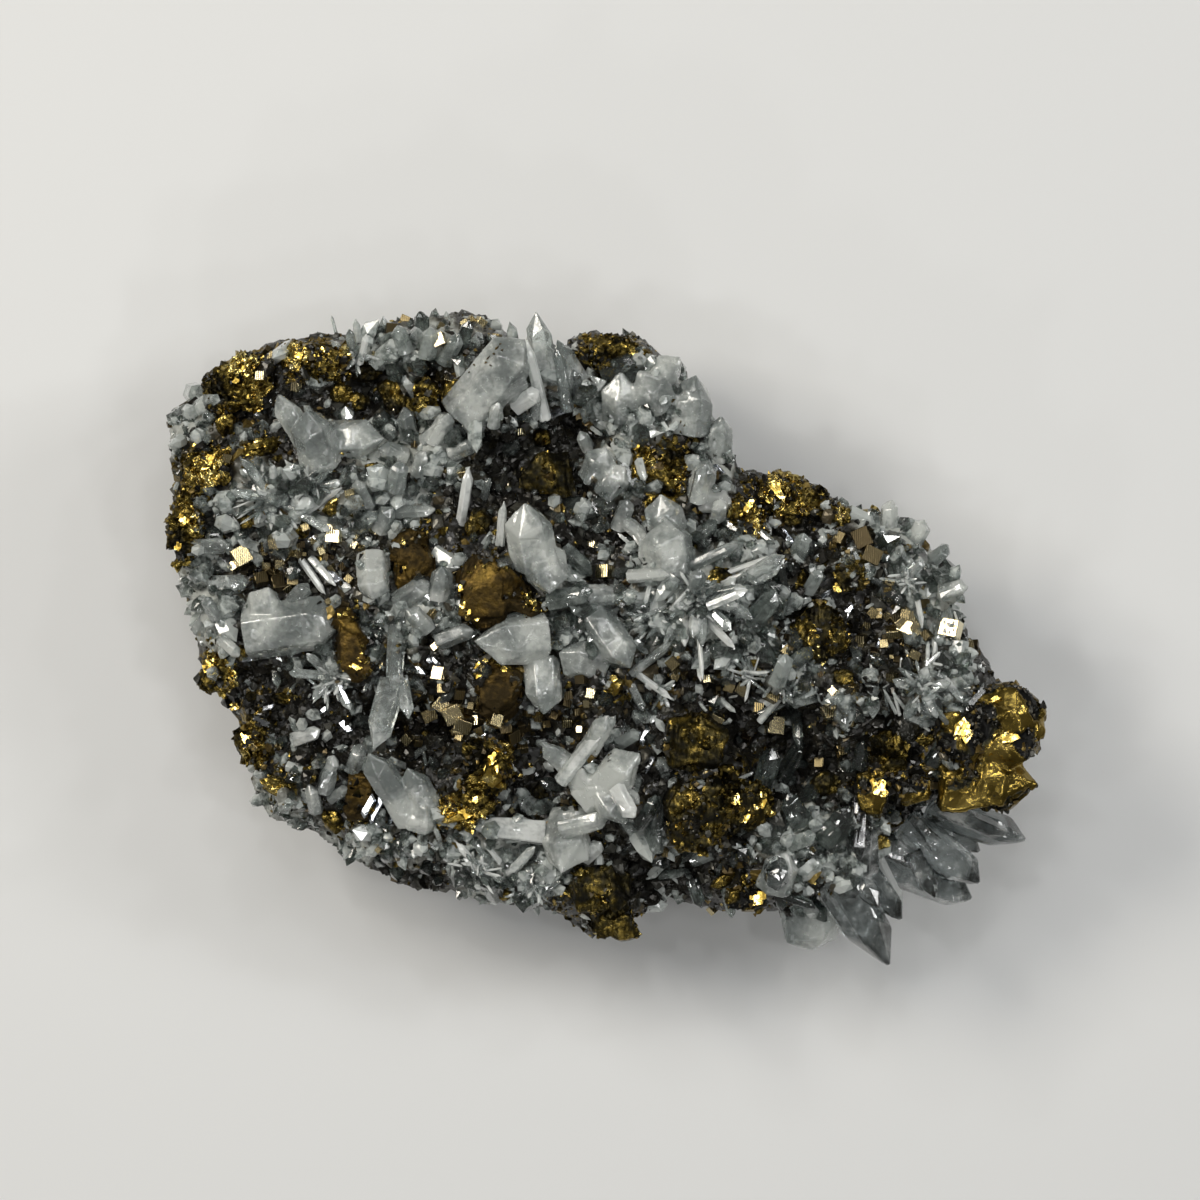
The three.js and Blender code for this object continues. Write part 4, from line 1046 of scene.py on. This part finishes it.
def laid_prisms(name, rows, material, seed, tree=None):
    """Prisms that lie on the bed along their headings, a little sunk at the root."""
    table = np.array(rows, float)
    ways = np.array([towards(row[2], row[3]) for row in rows])
    width, length = table[:, 5], table[:, 4]
    sizes = np.stack([width, width, length / PRISM_LENGTH], axis=1)
    tones = np.random.default_rng(seed).random(len(rows))
    places = raised(on_bed(rows, 0.35, tree), 0.12 * width)
    return spread(name, PRISMS, places, ways, sizes, tones, material, "quartz", seed)


STEEPEST = 78  # degrees that a needle rises at the most


def needle_bunches():
    """Needles that radiate from a point at every slope, the low ones longest."""
    random = np.random.default_rng(11)
    places, ways, sizes = [], [], []
    for row, middle in zip(BUNCHES, on_bed(BUNCHES, 0.9)):
        _, _, count, length, width = row
        for _ in range(count):
            rise = random.uniform(4, STEEPEST)
            way = towards(random.uniform(0, 360), rise)
            offset = Vector((random.normal(), random.normal(), 0)) * 0.16 * length * MM
            reach = length * random.uniform(0.55, 1.1) * (1.1 - 0.4 * rise / STEEPEST)
            thick = width * random.uniform(0.7, 1.3)
            places.append(Vector(middle) + offset)
            ways.append(way)
            sizes.append((thick, thick, reach / NEEDLE_LENGTH))
    table = (np.array(rows) for rows in (places, ways, sizes))
    tones = random.random(len(places))
    spread("quartz_needle_bunches", NEEDLES, *table, tones, CLEAR, "quartz", 12)


# ---- Metallic crystals listed one by one ---------------------------------------------------------

# Pyrite: x, y, size, and how bright. A bright one turns a face so that it mirrors a soft box. How bright
# # also sets a cube's tone, so its pale or brown colour is partly painted highlight and painted shade.
PYRITE_CUBES = [
    (-20.1, 37.6, 1.8, 1), (-15.1, 40, 1.3, 0.6), (-42.5, 33, 1.4, 1), (-45, 10.4, 2.6, 0.7),
    (-45.9, 9.3, 1.3, 1), (-41.9, 9.4, 1.3, 0.5), (-42.6, 7.6, 1.8, 0.3), (-40.4, 7, 1.8, 0.2),
    (-38.6, 7.4, 1.7, 0.3), (-33.2, 12.9, 2, 1), (-33.6, 14, 1, 1), (-30.7, 11.8, 1.2, 1),
    (-28.1, 13.8, 1.3, 1), (-30.5, 13.1, 0.9, 0.6), (-20.5, -0.9, 1.1, 1), (-20.1, -4.2, 1.9, 1),
    (-21.6, -9.4, 1.9, 0.4), (-15.7, -10.2, 1.5, 1), (-15.2, -11.4, 1.3, 0.3), (-13.1, -10, 1.7, 0.6),
    (-11.1, -12, 2, 0.2), (-4.2, -10.3, 1.3, 0.7), (-2.5, -11.2, 0.9, 1), (-0.9, -6.7, 1.5, 1),
    (-1.6, -7.9, 1, 0.8), (-11.9, 19.5, 1.3, 1), (-9.9, 26, 1, 1), (-1, 12, 1, 1), (0.6, 8.5, 1.9, 0.7),
    (13.6, -4.9, 1.2, 1), (18, -6.1, 1.7, 0.9), (16.2, -5.9, 1.3, 0.4), (20, -8.6, 1.5, 0.4),
    (22, -10.8, 2.5, 0.8), (28.7, -9.1, 1.8, 0.8), (17.1, 1.7, 0.9, 0.6), (34, 10.6, 2.5, 0.2),
    (33, 12.8, 2.5, 0.1), (33.1, 12.2, 1, 1), (44, 1.4, 2.7, 1), (34.2, 3.4, 1.3, 0.4),
    (35.6, -0.6, 1.3, 0.5), (29.2, -6.4, 1.2, 1), (27.6, -15.6, 1.3, 0.3), (39, -2.2, 1, 0.4),
    (38.4, 3.2, 1.4, 0.5), (41, 0.6, 1.2, 0.4), (-36.8, 14, 1.2, 0.5), (-25.6, 29.4, 1.4, 1),
    (-17.6, -6.6, 1.4, 0.3), (-14.6, -3.6, 1, 0.4), (-6.8, -10.6, 1.1, 0.3), (-38.2, 31.8, 1.2, 0.8),
]
# Galena: x, y, heading, length and width.
GALENA_BLADES = [
    (-32.3, -10.6, -45, 2.8, 0.9), (-42.6, -10.2, -25, 2.8, 0.8), (-32, -6.8, -62, 2.6, 0.6),
    (-5, 28.7, 18, 3.2, 1), (-33.6, 8, -40, 2.8, 1.5), (-36.2, 12.6, 20, 2, 0.6), (-21.6, -2, -60, 2, 0.6),
    (-22.6, -3.6, -50, 2, 0.6), (-20.6, -2.6, -40, 1.8, 0.5), (31.2, 3.7, 62, 2, 0.9),
    (35, -0.8, 70, 1.8, 0.7), (-44.2, -2.4, 0, 1.6, 0.7), (-28, -21.2, 62, 3.4, 1),
    (-27, -20.8, 68, 3, 0.9), (-29, -20.8, 60, 2.8, 0.9), (-27.6, -22.8, 55, 1.6, 0.8),
    (-26.2, -22.4, 70, 1.4, 0.6), (23.4, 13, -50, 2.4, 0.8), (28.2, 5.6, 20, 1.8, 0.7),
    (-35, -9, 30, 1.6, 0.6), (5.6, -12, 70, 2.4, 0.7), (6.2, -15.6, 60, 2.2, 0.6),
    (-42, -8.6, 10, 1.8, 0.6), (14.8, 21.4, -40, 1.6, 0.7),
]
# Small lumps of ore: x, y, half-widths along and across, heading, and whether rough.
ORE_KNOBS = [
    (-42.4, 24.2, 2.9, 1.4, 14, True), (-28.2, 21.2, 1.5, 1, -20, True), (-33.4, 16.6, 1.4, 1, 30, True),
    (-15.2, 14.4, 2.3, 1.8, 80, False), (-7.2, 25.4, 1.3, 1.2, 0, True), (14.9, 8.1, 1.6, 1.2, 10, True),
    (25.3, 7.6, 1.4, 0.7, 80, True), (24, 15.4, 1.4, 1.2, 0, False), (30.4, 15.6, 1.3, 1.2, 0, True),
    (36.9, -15.7, 1.9, 1.1, 20, False), (15.9, -30, 2.3, 0.9, 35, True), (-7, -18.8, 1.8, 1.2, 30, False),
    (-12, -31.8, 1.1, 1, 0, True), (36.5, -26.6, 1.7, 1.1, 0, True), (42, -24, 1.3, 1, 20, True),
    (-39.6, -7.4, 1.8, 0.9, 0, True), (-43.8, -7.1, 1.3, 0.7, 20, False),
    (-40.2, -18.4, 2.5, 1.3, -25, True), (-33.6, -22.7, 1.7, 1.3, -50, True),
    (28.4, -18.1, 2, 1.7, 0, False), (30.2, -4.8, 1.8, 1.3, -10, False), (-44.4, 14.9, 1.1, 1, 0, True),
    (-37.6, 13.4, 1.3, 0.9, 0, True), (-26.4, 31.6, 1.8, 1.4, 0, False), (-30.4, 30, 1.5, 1.3, 0, False),
    (-22.6, 28, 1.6, 1.1, 0, False), (33.6, 13.4, 1.2, 1, 0, False), (41, -12.4, 1.4, 1, 0, True),
    (16, -16.6, 1.6, 1.1, -30, True), (-34, 33.4, 1.4, 1, 0, True), (-47, 27, 1.4, 1.8, 0, True),
    (13.4, 17.6, 1.6, 1, 0, False), (38.8, -18.6, 2.4, 1.7, 0, False), (37.3, -15.6, 1.8, 0.8, 45, True),
    (20.3, -20.2, 1.6, 2.2, 0, True), (9.8, -20.6, 2, 3, 0, False), (35.6, -13, 2, 1.8, 10, False),
    (-25, 29.4, 2.6, 1.5, -20, False), (-18.4, 30.6, 1.9, 2.2, 0, True), (-29.4, 33.6, 2, 1.2, 10, False),
    (-32.6, 31, 1.6, 1.4, 0, False),
]
# The same without the last value. The grains of the nuggets and specks take whole widths instead.
GALENA_KNOBS = [(29.2, 2.8, 2.6, 1.7, 10), (-8.4, 22.8, 2.2, 1.6, 20), (38.2, -11.2, 2, 1.6, 60)]
NUGGETS = [
    (1.8, -5.6, 3.2, 2.6, 80), (20.9, -18.8, 1.8, 1.6, 0), (21.3, -21.8, 1.8, 1.6, 40),
    (-13.4, -16.4, 4.4, 3, 80), (-18, -22, 4.6, 2.4, 20), (-13, -13.4, 2, 1.6, 0),
]
CROWN_SPECKS = [
    (-14.2, 34.6, 0.6, 0.4, 30), (-13.9, 35.2, 0.8, 0.35, 60), (-13.2, 35.6, 0.5, 0.4, 0),
    (-12.8, 36.4, 0.8, 0.4, 40), (-12.2, 36.1, 0.5, 0.4, 80), (-13.6, 34.2, 0.4, 0.35, 0),
    (-15.7, 34.3, 0.4, 0.3, 0), (-16.3, 33.4, 0.35, 0.3, 0), (-12.4, 36.9, 0.5, 0.3, 20),
]
# Faces of ore that mirror the key light: x, y, length, width, heading, and whether pale like pyrite.
FLASH_FACES = [
    (-41.6, 34.6, 1.2, 0.7, 40, False), (-45.6, 32.4, 1, 0.8, 0, False), (-34.8, 36.2, 1.2, 0.8, 70, False),
    (-50.6, 24.8, 1.6, 0.8, 50, False), (-49.4, 21.6, 1.2, 0.8, 0, False), (-52.8, 11.6, 1, 1.4, 0, False),
    (45.5, -11.4, 3.4, 2.8, 60, False), (50.8, -12.2, 3.4, 1.8, -10, False),
    (49.6, -7.4, 1.6, 0.7, 20, False), (35, -18.6, 3.2, 2.2, -50, False), (20, -32.4, 2.6, 1.8, 10, False),
    (38.4, 1.6, 2.6, 2, -30, True), (22, 19.2, 4.4, 1.6, -62, False), (-48.8, 22.6, 2.2, 1.4, 60, False),
    (-52.2, 15, 1.6, 2.2, 80, False), (-49, -3.6, 2.2, 1.5, -60, False), (1.9, -5.6, 2.2, 1.6, 80, False),
    (-47.4, -10.6, 1.6, 1.1, 0, False), (-44.4, -12.6, 2.2, 1, -50, False),
    (-37.6, 35.6, 1.4, 1, 20, False), (-44.6, 34, 1.6, 0.9, 30, False), (-16.6, -21.8, 3, 1.6, 20, False),
    (-13.2, -14.8, 1.8, 1.4, 60, False), (17.4, -20, 1.8, 1.4, 70, False),
    (18.2, -22.4, 1.6, 1.2, 30, False), (-33.4, -23, 1.8, 1.2, -50, False), (18.6, 16.2, 1.6, 1, 30, False),
    (-28.4, 20.8, 1.6, 1, -30, False), (-39.6, -7.6, 1.8, 0.7, 20, False), (44, 1.6, 2.2, 1.6, 50, True),
    (-34.6, 9.8, 1.2, 0.8, 0, True), (25.6, -1.6, 2.2, 0.8, -42, False), (-30.4, -3.4, 0.7, 1.8, 70, False),
    (24, -3.2, 1.8, 0.8, -20, False), (18.4, 16.6, 2.4, 1.6, 30, False), (20.4, -20.4, 1.6, 1.2, 60, False),
    (37.4, -15.4, 2.6, 1, 45, False), (29.8, 6.4, 1.6, 1, -60, False), (-18.5, -22.4, 4.4, 1.8, 18, False),
    (-13.4, -16, 1.8, 2.4, 80, False), (-12.6, -18.2, 1, 0.8, 0, False), (-15.4, -20, 1, 0.8, 40, False),
    (-15.2, -3.2, 1.2, 0.8, 40, False), (-14.9, -4.6, 0.9, 1.1, 70, False),
    (-14.2, -2.6, 0.8, 0.6, 0, False), (-16.9, 4.3, 1, 0.8, 30, False), (-16.2, 3.4, 0.9, 0.7, 60, False),
    (-17.2, 6.4, 0.8, 1, 0, False), (-15.2, 2.6, 0.8, 0.6, 10, False),
]


# The way a face looks when it mirrors the key light on the left straight up.
MIRROR_WAY = (LEFT_BOX + Vector((0, 0, 1))).normalized()


def near_mirror(random, scatter):
    """A way that a face looks when it mirrors the key light almost, a little off at random."""
    return (MIRROR_WAY + Vector(random.normal(size=3)) * scatter).normalized()


def laid_pyrite():
    """Cubes on the bed. Bright ones mirror the key light, and the others lean any way. How bright each one
    looks is its tone: painted highlight on the bright ones and painted shade on the dull ones, over real
    tarnish.
    """
    random = np.random.default_rng(21)
    size, bright = (np.array([row[i] for row in PYRITE_CUBES], float) for i in (2, 3))
    ways = []
    for shine in bright:
        tilt = random.uniform(10, 40)  # degrees off upright
        near = near_mirror(random, 0.05)
        ways.append(near if shine == 1 else towards(random.uniform(0, 360), 90 - tilt))
    places = raised(on_bed(PYRITE_CUBES, 0.2, dressed), 0.2 * size)
    sizes = np.repeat(size[:, None], 3, axis=1)
    # The brightness is the cubes' tone, so their colour paints part of their highlight and their shade.
    return spread("pyrite_cubes_laid", CUBES, places, np.array(ways), sizes, bright, PYRITE, "pyrite", 22)


def spins_along(ways, headings):
    """The spins that turn the X axes of crystals with these directions to these headings in plan."""
    spins = []
    for way, heading in zip(ways, headings):
        lying = Vector(way).to_track_quat("Z", "X").inverted() @ towards(heading, 0)
        spins.append(math.atan2(lying.y, lying.x))
    return np.array(spins)


def laid_galena():
    """Blades on the bed that mirror the key light."""
    random = np.random.default_rng(23)
    rows = np.array(GALENA_BLADES, float)
    ways = np.array([near_mirror(random, 0.08) for _ in rows])
    sizes = np.stack([rows[:, 3], rows[:, 4], 0.5 * rows[:, 4]], axis=1)
    places, tones = on_bed(GALENA_BLADES, 0.3, dressed), random.uniform(0.2, 1, len(rows))
    spins = spins_along(ways, rows[:, 2])
    return spread("galena_blades", BLADES, places, ways, sizes, tones, GALENA, "rock", 24, spins)


def laid_knobs():
    """Rounded lumps on the rock, nuggets of bright ore, and brown specks on the crown crystal."""
    rough = [row[:5] for row in ORE_KNOBS if row[5]]
    smooth = [row[:5] for row in ORE_KNOBS if not row[5]]
    made = []
    for name, kinds, rows, material, slot, tree in (
        ("ore_knobs_rough", KNOBS, rough, ROUGH_ORE, "chalcopyrite", rock_tree),
        ("ore_knobs_smooth", KNOBS, smooth, OLIVE_ORE, "chalcopyrite", rock_tree),
        ("galena_knobs", KNOBS, GALENA_KNOBS, DARK, "rock", rock_tree),
        ("ore_nuggets", GRAINS, NUGGETS, POLISHED_ORE, "chalcopyrite", dressed),
        ("crown_specks", GRAINS, CROWN_SPECKS, AMBER_ORE, "rock", dressed),
    ):
        table = np.array(rows, float)
        sizes = np.stack([table[:, 3], table[:, 2], 0.8 * table[:, 3]], axis=1)
        ways = np.tile((0.0, 0.0, 1.0), (len(rows), 1))
        spins = np.radians(table[:, 4]) - math.pi / 2
        places = raised(on_bed(rows, 0, tree), 0.25 * table[:, 3])
        tones = np.full(len(rows), 0.5)
        made.append(spread(name, kinds, places, ways, sizes, tones, material, slot, 25, spins))
    return made


def flash_faces():
    """Cleavage faces on top of the ore that turn to mirror the key light, give or take some degrees."""
    random = np.random.default_rng(26)
    rows = np.array([row[:5] for row in FLASH_FACES], float)
    places = on_bed(FLASH_FACES, 0.1, dressed)
    ways = np.array([near_mirror(random, 0.04) for _ in rows])
    sizes = np.stack([rows[:, 2], rows[:, 3], np.full(len(rows), 1.0)], axis=1)
    spins = spins_along(ways, rows[:, 4])
    pale = np.array([row[5] for row in FLASH_FACES])
    for name, mask, material, slot in (
        ("flash_faces_ore", ~pale, POLISHED_ORE, "chalcopyrite"),
        ("flash_faces_pale", pale, PYRITE, "pyrite"),
    ):
        rows = places[mask], ways[mask], sizes[mask], np.ones(mask.sum())
        spread(name, PLATES, *rows, material, slot, 27, spins[mask])


DRESSED_ENDS = ("_ore", "_grown", "_plate", "_crystals")
dressed = joined_tree([made.data for made in bpy.data.objects if made.name.endswith(DRESSED_ENDS)])
prisms = [
    laid_prisms("quartz_prisms_high_clear", HIGH_PRISMS, CLEAR, 34, dressed),
    laid_prisms("quartz_prisms_high_milky", HIGH_MILKY, MILKY, 35, dressed),
    laid_prisms("quartz_prisms_high_smoky", HIGH_SMOKY, RIM_QUARTZ, 36, dressed),
    laid_prisms("quartz_prisms_clear", CLEAR_PRISMS, CLEAR, 31),
    laid_prisms("quartz_prisms_milky", MILKY_PRISMS, MILKY, 32),
    laid_prisms("quartz_prisms_smoky", SMOKY_PRISMS, SMOKY, 33),
]
needle_bunches()
metals = [laid_pyrite(), laid_galena(), *laid_knobs()]
flash_faces()


# ---- The crust between them ----------------------------------------------------------------------

SORT_WAY = (0.31, 0.53, 0.79)  # no face of a crystal lies square to it


def in_fixed_order(triangles):
    """The same triangles, sorted along one way, each with its lowest corner that way first, because
    bevel and triangulate number faces anew on each run."""
    key = (triangles * SORT_WAY).sum(axis=2)
    turns = (key.argmin(axis=1)[:, None] + np.arange(3)) % 3
    rows = np.arange(len(triangles))[:, None]
    return triangles[rows, turns][np.lexsort(key[rows, turns].T)]


def spots_on(target, per_mm2, seed):
    """Even random places on a piece's mesh, so many to a square millimetre: an array of places and one
    of outward directions."""
    mesh = target.data
    mesh.calc_loop_triangles()
    corners = np.empty(len(mesh.loop_triangles) * 3, np.int32)
    mesh.loop_triangles.foreach_get("vertices", corners)
    triangles = in_fixed_order(vectors(mesh.vertices, "co")[corners.reshape(-1, 3)].astype(float))
    edge_a, edge_b = triangles[:, 1] - triangles[:, 0], triangles[:, 2] - triangles[:, 0]
    cross = np.cross(edge_a, edge_b)
    doubled = np.linalg.norm(cross, axis=1)
    random = np.random.default_rng(seed)
    count = int(doubled.sum() / 2 / MM**2 * per_mm2)
    chosen = random.choice(len(triangles), count, p=doubled / doubled.sum())
    u, v = random.random((2, count, 1))
    fold = u + v > 1
    u, v = np.where(fold, 1 - u, u), np.where(fold, 1 - v, v)
    where = triangles[chosen, 0] + u * edge_a[chosen] + v * edge_b[chosen]
    return where, cross[chosen] / doubled[chosen, None]


def kinds_at(places, random):
    """Which mineral grows at each place, drawn by how rich each one is there."""
    shares = np.cumsum([richness(kind, places) for kind in ZONES], axis=0)
    drawn = random.random(len(places)) * shares[-1]
    return np.array(list(ZONES))[(drawn > shares).sum(axis=0)]


LARGE_PIECES = [name + "_crystals" for name in nodes_of("quartz")]
LARGE_PIECES += [name + "_ore" for name in nodes_of("chalcopyrite")]
covers = [bpy.data.objects[name] for name in LARGE_PIECES] + prisms + metals
cover_tree = joined_tree([made.data for made in covers])


UP = Vector((0, 0, 1))
COVER_FROM, COVER_REACH = 1, 6  # millimetres below a place, and how far up from there


def covered(place):
    """Whether a large crystal or ore mass lies over this place."""
    hit = cover_tree.ray_cast(Vector(place) - UP * COVER_FROM * MM, UP, COVER_REACH * MM)
    return hit[0] is not None


def tilted(ways, amount, random):
    """Directions turned at random away from the surface's own."""
    leaning = ways + random.normal(size=ways.shape) * amount
    return leaning / np.linalg.norm(leaning, axis=1)[:, None]


# Crystals to a square millimetre.
ON_ROCK, ON_FEET = 2.3, 1.2
ON_BARE, ON_ROUGH, ON_CLEAVED = 1.6, 1.8, 2.6
FLANK_SHARE = 0.12  # how many of the places on the flank get a crystal
FLANK_START, BED_START, FEET_START = 2.5, 10, 12  # millimetres above the base
FOOT_HEIGHT = 1.5  # millimetres of a large crystal that the crust climbs
# The widths of the small crystals in millimetres: the mean and the spread of their logarithms, the
# least and the most. Few crystals are large and most are small.
WIDTHS = {
    "druse": (0.42, 0.38, 0.7, 3.2),
    "dark": (0.2, 0.45, 0.5, 3.0),
    "ore": (-0.3, 0.4, 0.35, 1.6),
    "pyrite": (0.0, 0.3, 0.6, 1.8),
    "needle": (-0.75, 0.3, 0.25, 0.9),
    "glitter": (-0.45, 0.4, 0.3, 1.6),
}


def widths(kind, count, random):
    """Widths drawn for so many crystals of one kind, as a column."""
    mean, spread_out, least, most = WIDTHS[kind]
    return random.lognormal(mean, spread_out, (count, 1)).clip(least, most)


def crust():
    """The druse and the grains over the bed, the rim and the feet of the large crystals."""
    random = np.random.default_rng(7)
    places, ways = spots_on(rock, ON_ROCK, 5)
    level, upward = places[:, 2] / MM, ways[:, 2]
    on_flank = (random.random(len(places)) < FLANK_SHARE) & (level > FLANK_START)
    keep = ((upward > 0.15) & (level > BED_START)) | on_flank
    keep &= np.array([not covered(place) for place in places])
    feet = [spots_on(bpy.data.objects[name], ON_FEET, i) for i, name in enumerate(LARGE_PIECES)]
    foot_places, foot_ways = (np.concatenate(parts) for parts in zip(*feet))
    gaps = np.array([rock_tree.find_nearest(Vector(place))[3] for place in foot_places])
    near = (gaps < FOOT_HEIGHT * MM) & (foot_ways[:, 2] > -0.1) & (foot_places[:, 2] > FEET_START * MM)
    places = np.concatenate([places[keep], foot_places[near]])
    ways = np.concatenate([ways[keep], foot_ways[near]])
    order = random.permutation(len(places))
    places, ways = places[order], ways[order]
    kinds = kinds_at(places, random)
    kinds[(kinds == "needle") & (ways[:, 2] < 0.5)] = "druse"  # no needles stand out of the rim
    rim = np.clip((ways[:, 2] - 0.1) / 0.75, 0.3, 1)  # crystals are smaller where the rim turns down

    def of(kind, sunk):
        """The places of one mineral, sunk by so many millimetres, with their directions and rim
        factors, and how many they are."""
        mask = kinds == kind
        return places[mask] - ways[mask] * sunk * MM, ways[mask], rim[mask][:, None], int(mask.sum())

    where, out, low, count = of("druse", 0.35)
    width = widths("druse", count, random) * low
    sizes = np.hstack([width, width, width * random.uniform(0.7, 1.2, (count, 1))])
    lean, tones = tilted(out, 0.55, random), random.random(count)
    half = count // 2 + 1
    for i, label in enumerate(("first", "second")):
        rows = (values[i * half : (i + 1) * half] for values in (where, lean, sizes, tones))
        spread("druse_" + label, DRUSE_KINDS, *rows, DRUSE, "quartz", i)

    where, out, low, count = of("dark", 0.2)
    width = widths("dark", count, random) * low
    sizes = width * random.uniform(0.75, 1.25, (count, 3))
    # Grains are darker where the dark zone is richest, in the deep hollows: painted shade.
    tones = random.random(count) * (1.05 - 0.1 * richness("dark", where).clip(0, 5))
    spread("dark_grains", GRAINS, where, tilted(out, 1, random), sizes, tones, DARK, "rock", 3)

    where, out, low, count = of("ore", 0.1)
    width = widths("ore", count, random) * low
    sizes = width * random.uniform(0.8, 1.2, (count, 3))
    tones, lean = random.random(count), tilted(out, 1.5, random)
    spread("ore_grains", SPHENOIDS, where, lean, sizes, tones, ROUGH_ORE, "chalcopyrite", 4)

    where, out, _, count = of("pyrite", -0.2)
    width = widths("pyrite", count, random)
    sizes = np.repeat(width, 3, axis=1)
    lean, tones = tilted(out, 0.7, random), 0.7 * random.random(count)
    spread("small_cubes", CUBES, where, lean, sizes, tones, PYRITE, "pyrite", 5)

    where, out, _, count = of("needle", 0.2)
    width = widths("needle", count, random)
    sizes = np.hstack([width, width, width * random.uniform(0.5, 0.9, (count, 1))])
    lean, tones = tilted(out, 0.9, random), random.random(count)
    spread("needles", NEEDLES, where, lean, sizes, tones, CLEAR, "quartz", 6)


def glitter():
    """Fine crystals grown over the ore masses in patches, which make them glitter, and dark grains
    over the dark patches of cleaved ore."""
    random = np.random.default_rng(9)
    places, ways, dusty = [], [], []
    for node in nodes_of("chalcopyrite"):
        cleaved, bare = node in CLEAVED_MASSES, node in BARE_MASSES
        density = ON_CLEAVED if cleaved else ON_BARE if bare else ON_ROUGH
        where, out = spots_on(bpy.data.objects[node + "_ore"], density, len(places))
        if cleaved:
            dark = np.array([gold_share(Vector(place)) < DARK_SHARE for place in where])
            seen = dark & (out[:, 2] > -0.2)
        else:
            crusted = np.array([lump(Vector(place) + Vector((1, 1, 1)), 2.2) for place in where])
            dark = crusted + random.normal(size=len(where)) * 0.12 > 0.12
            patches = np.array([lump(Vector(place), 3.0) > 0.15 or not bare for place in where])
            seen = (out[:, 2] > -0.2) & patches
        places.append(where[seen])
        ways.append(out[seen])
        dusty.append(dark[seen])
    places, ways, dusty = np.concatenate(places), np.concatenate(ways), np.concatenate(dusty)
    count = len(places)
    sizes = widths("glitter", count, random) * random.uniform(0.8, 1.2, (count, 3))
    lean, tones = tilted(ways, 1.2, random), random.random(count)
    for name, mask, material, slot in (
        ("ore_glitter", ~dusty, ROUGH_ORE, "chalcopyrite"),
        ("ore_dust", dusty, DARK, "rock"),
    ):
        spread(name, SPHENOIDS, places[mask], lean[mask], sizes[mask], tones[mask], material, slot, 8)


crust()
glitter()
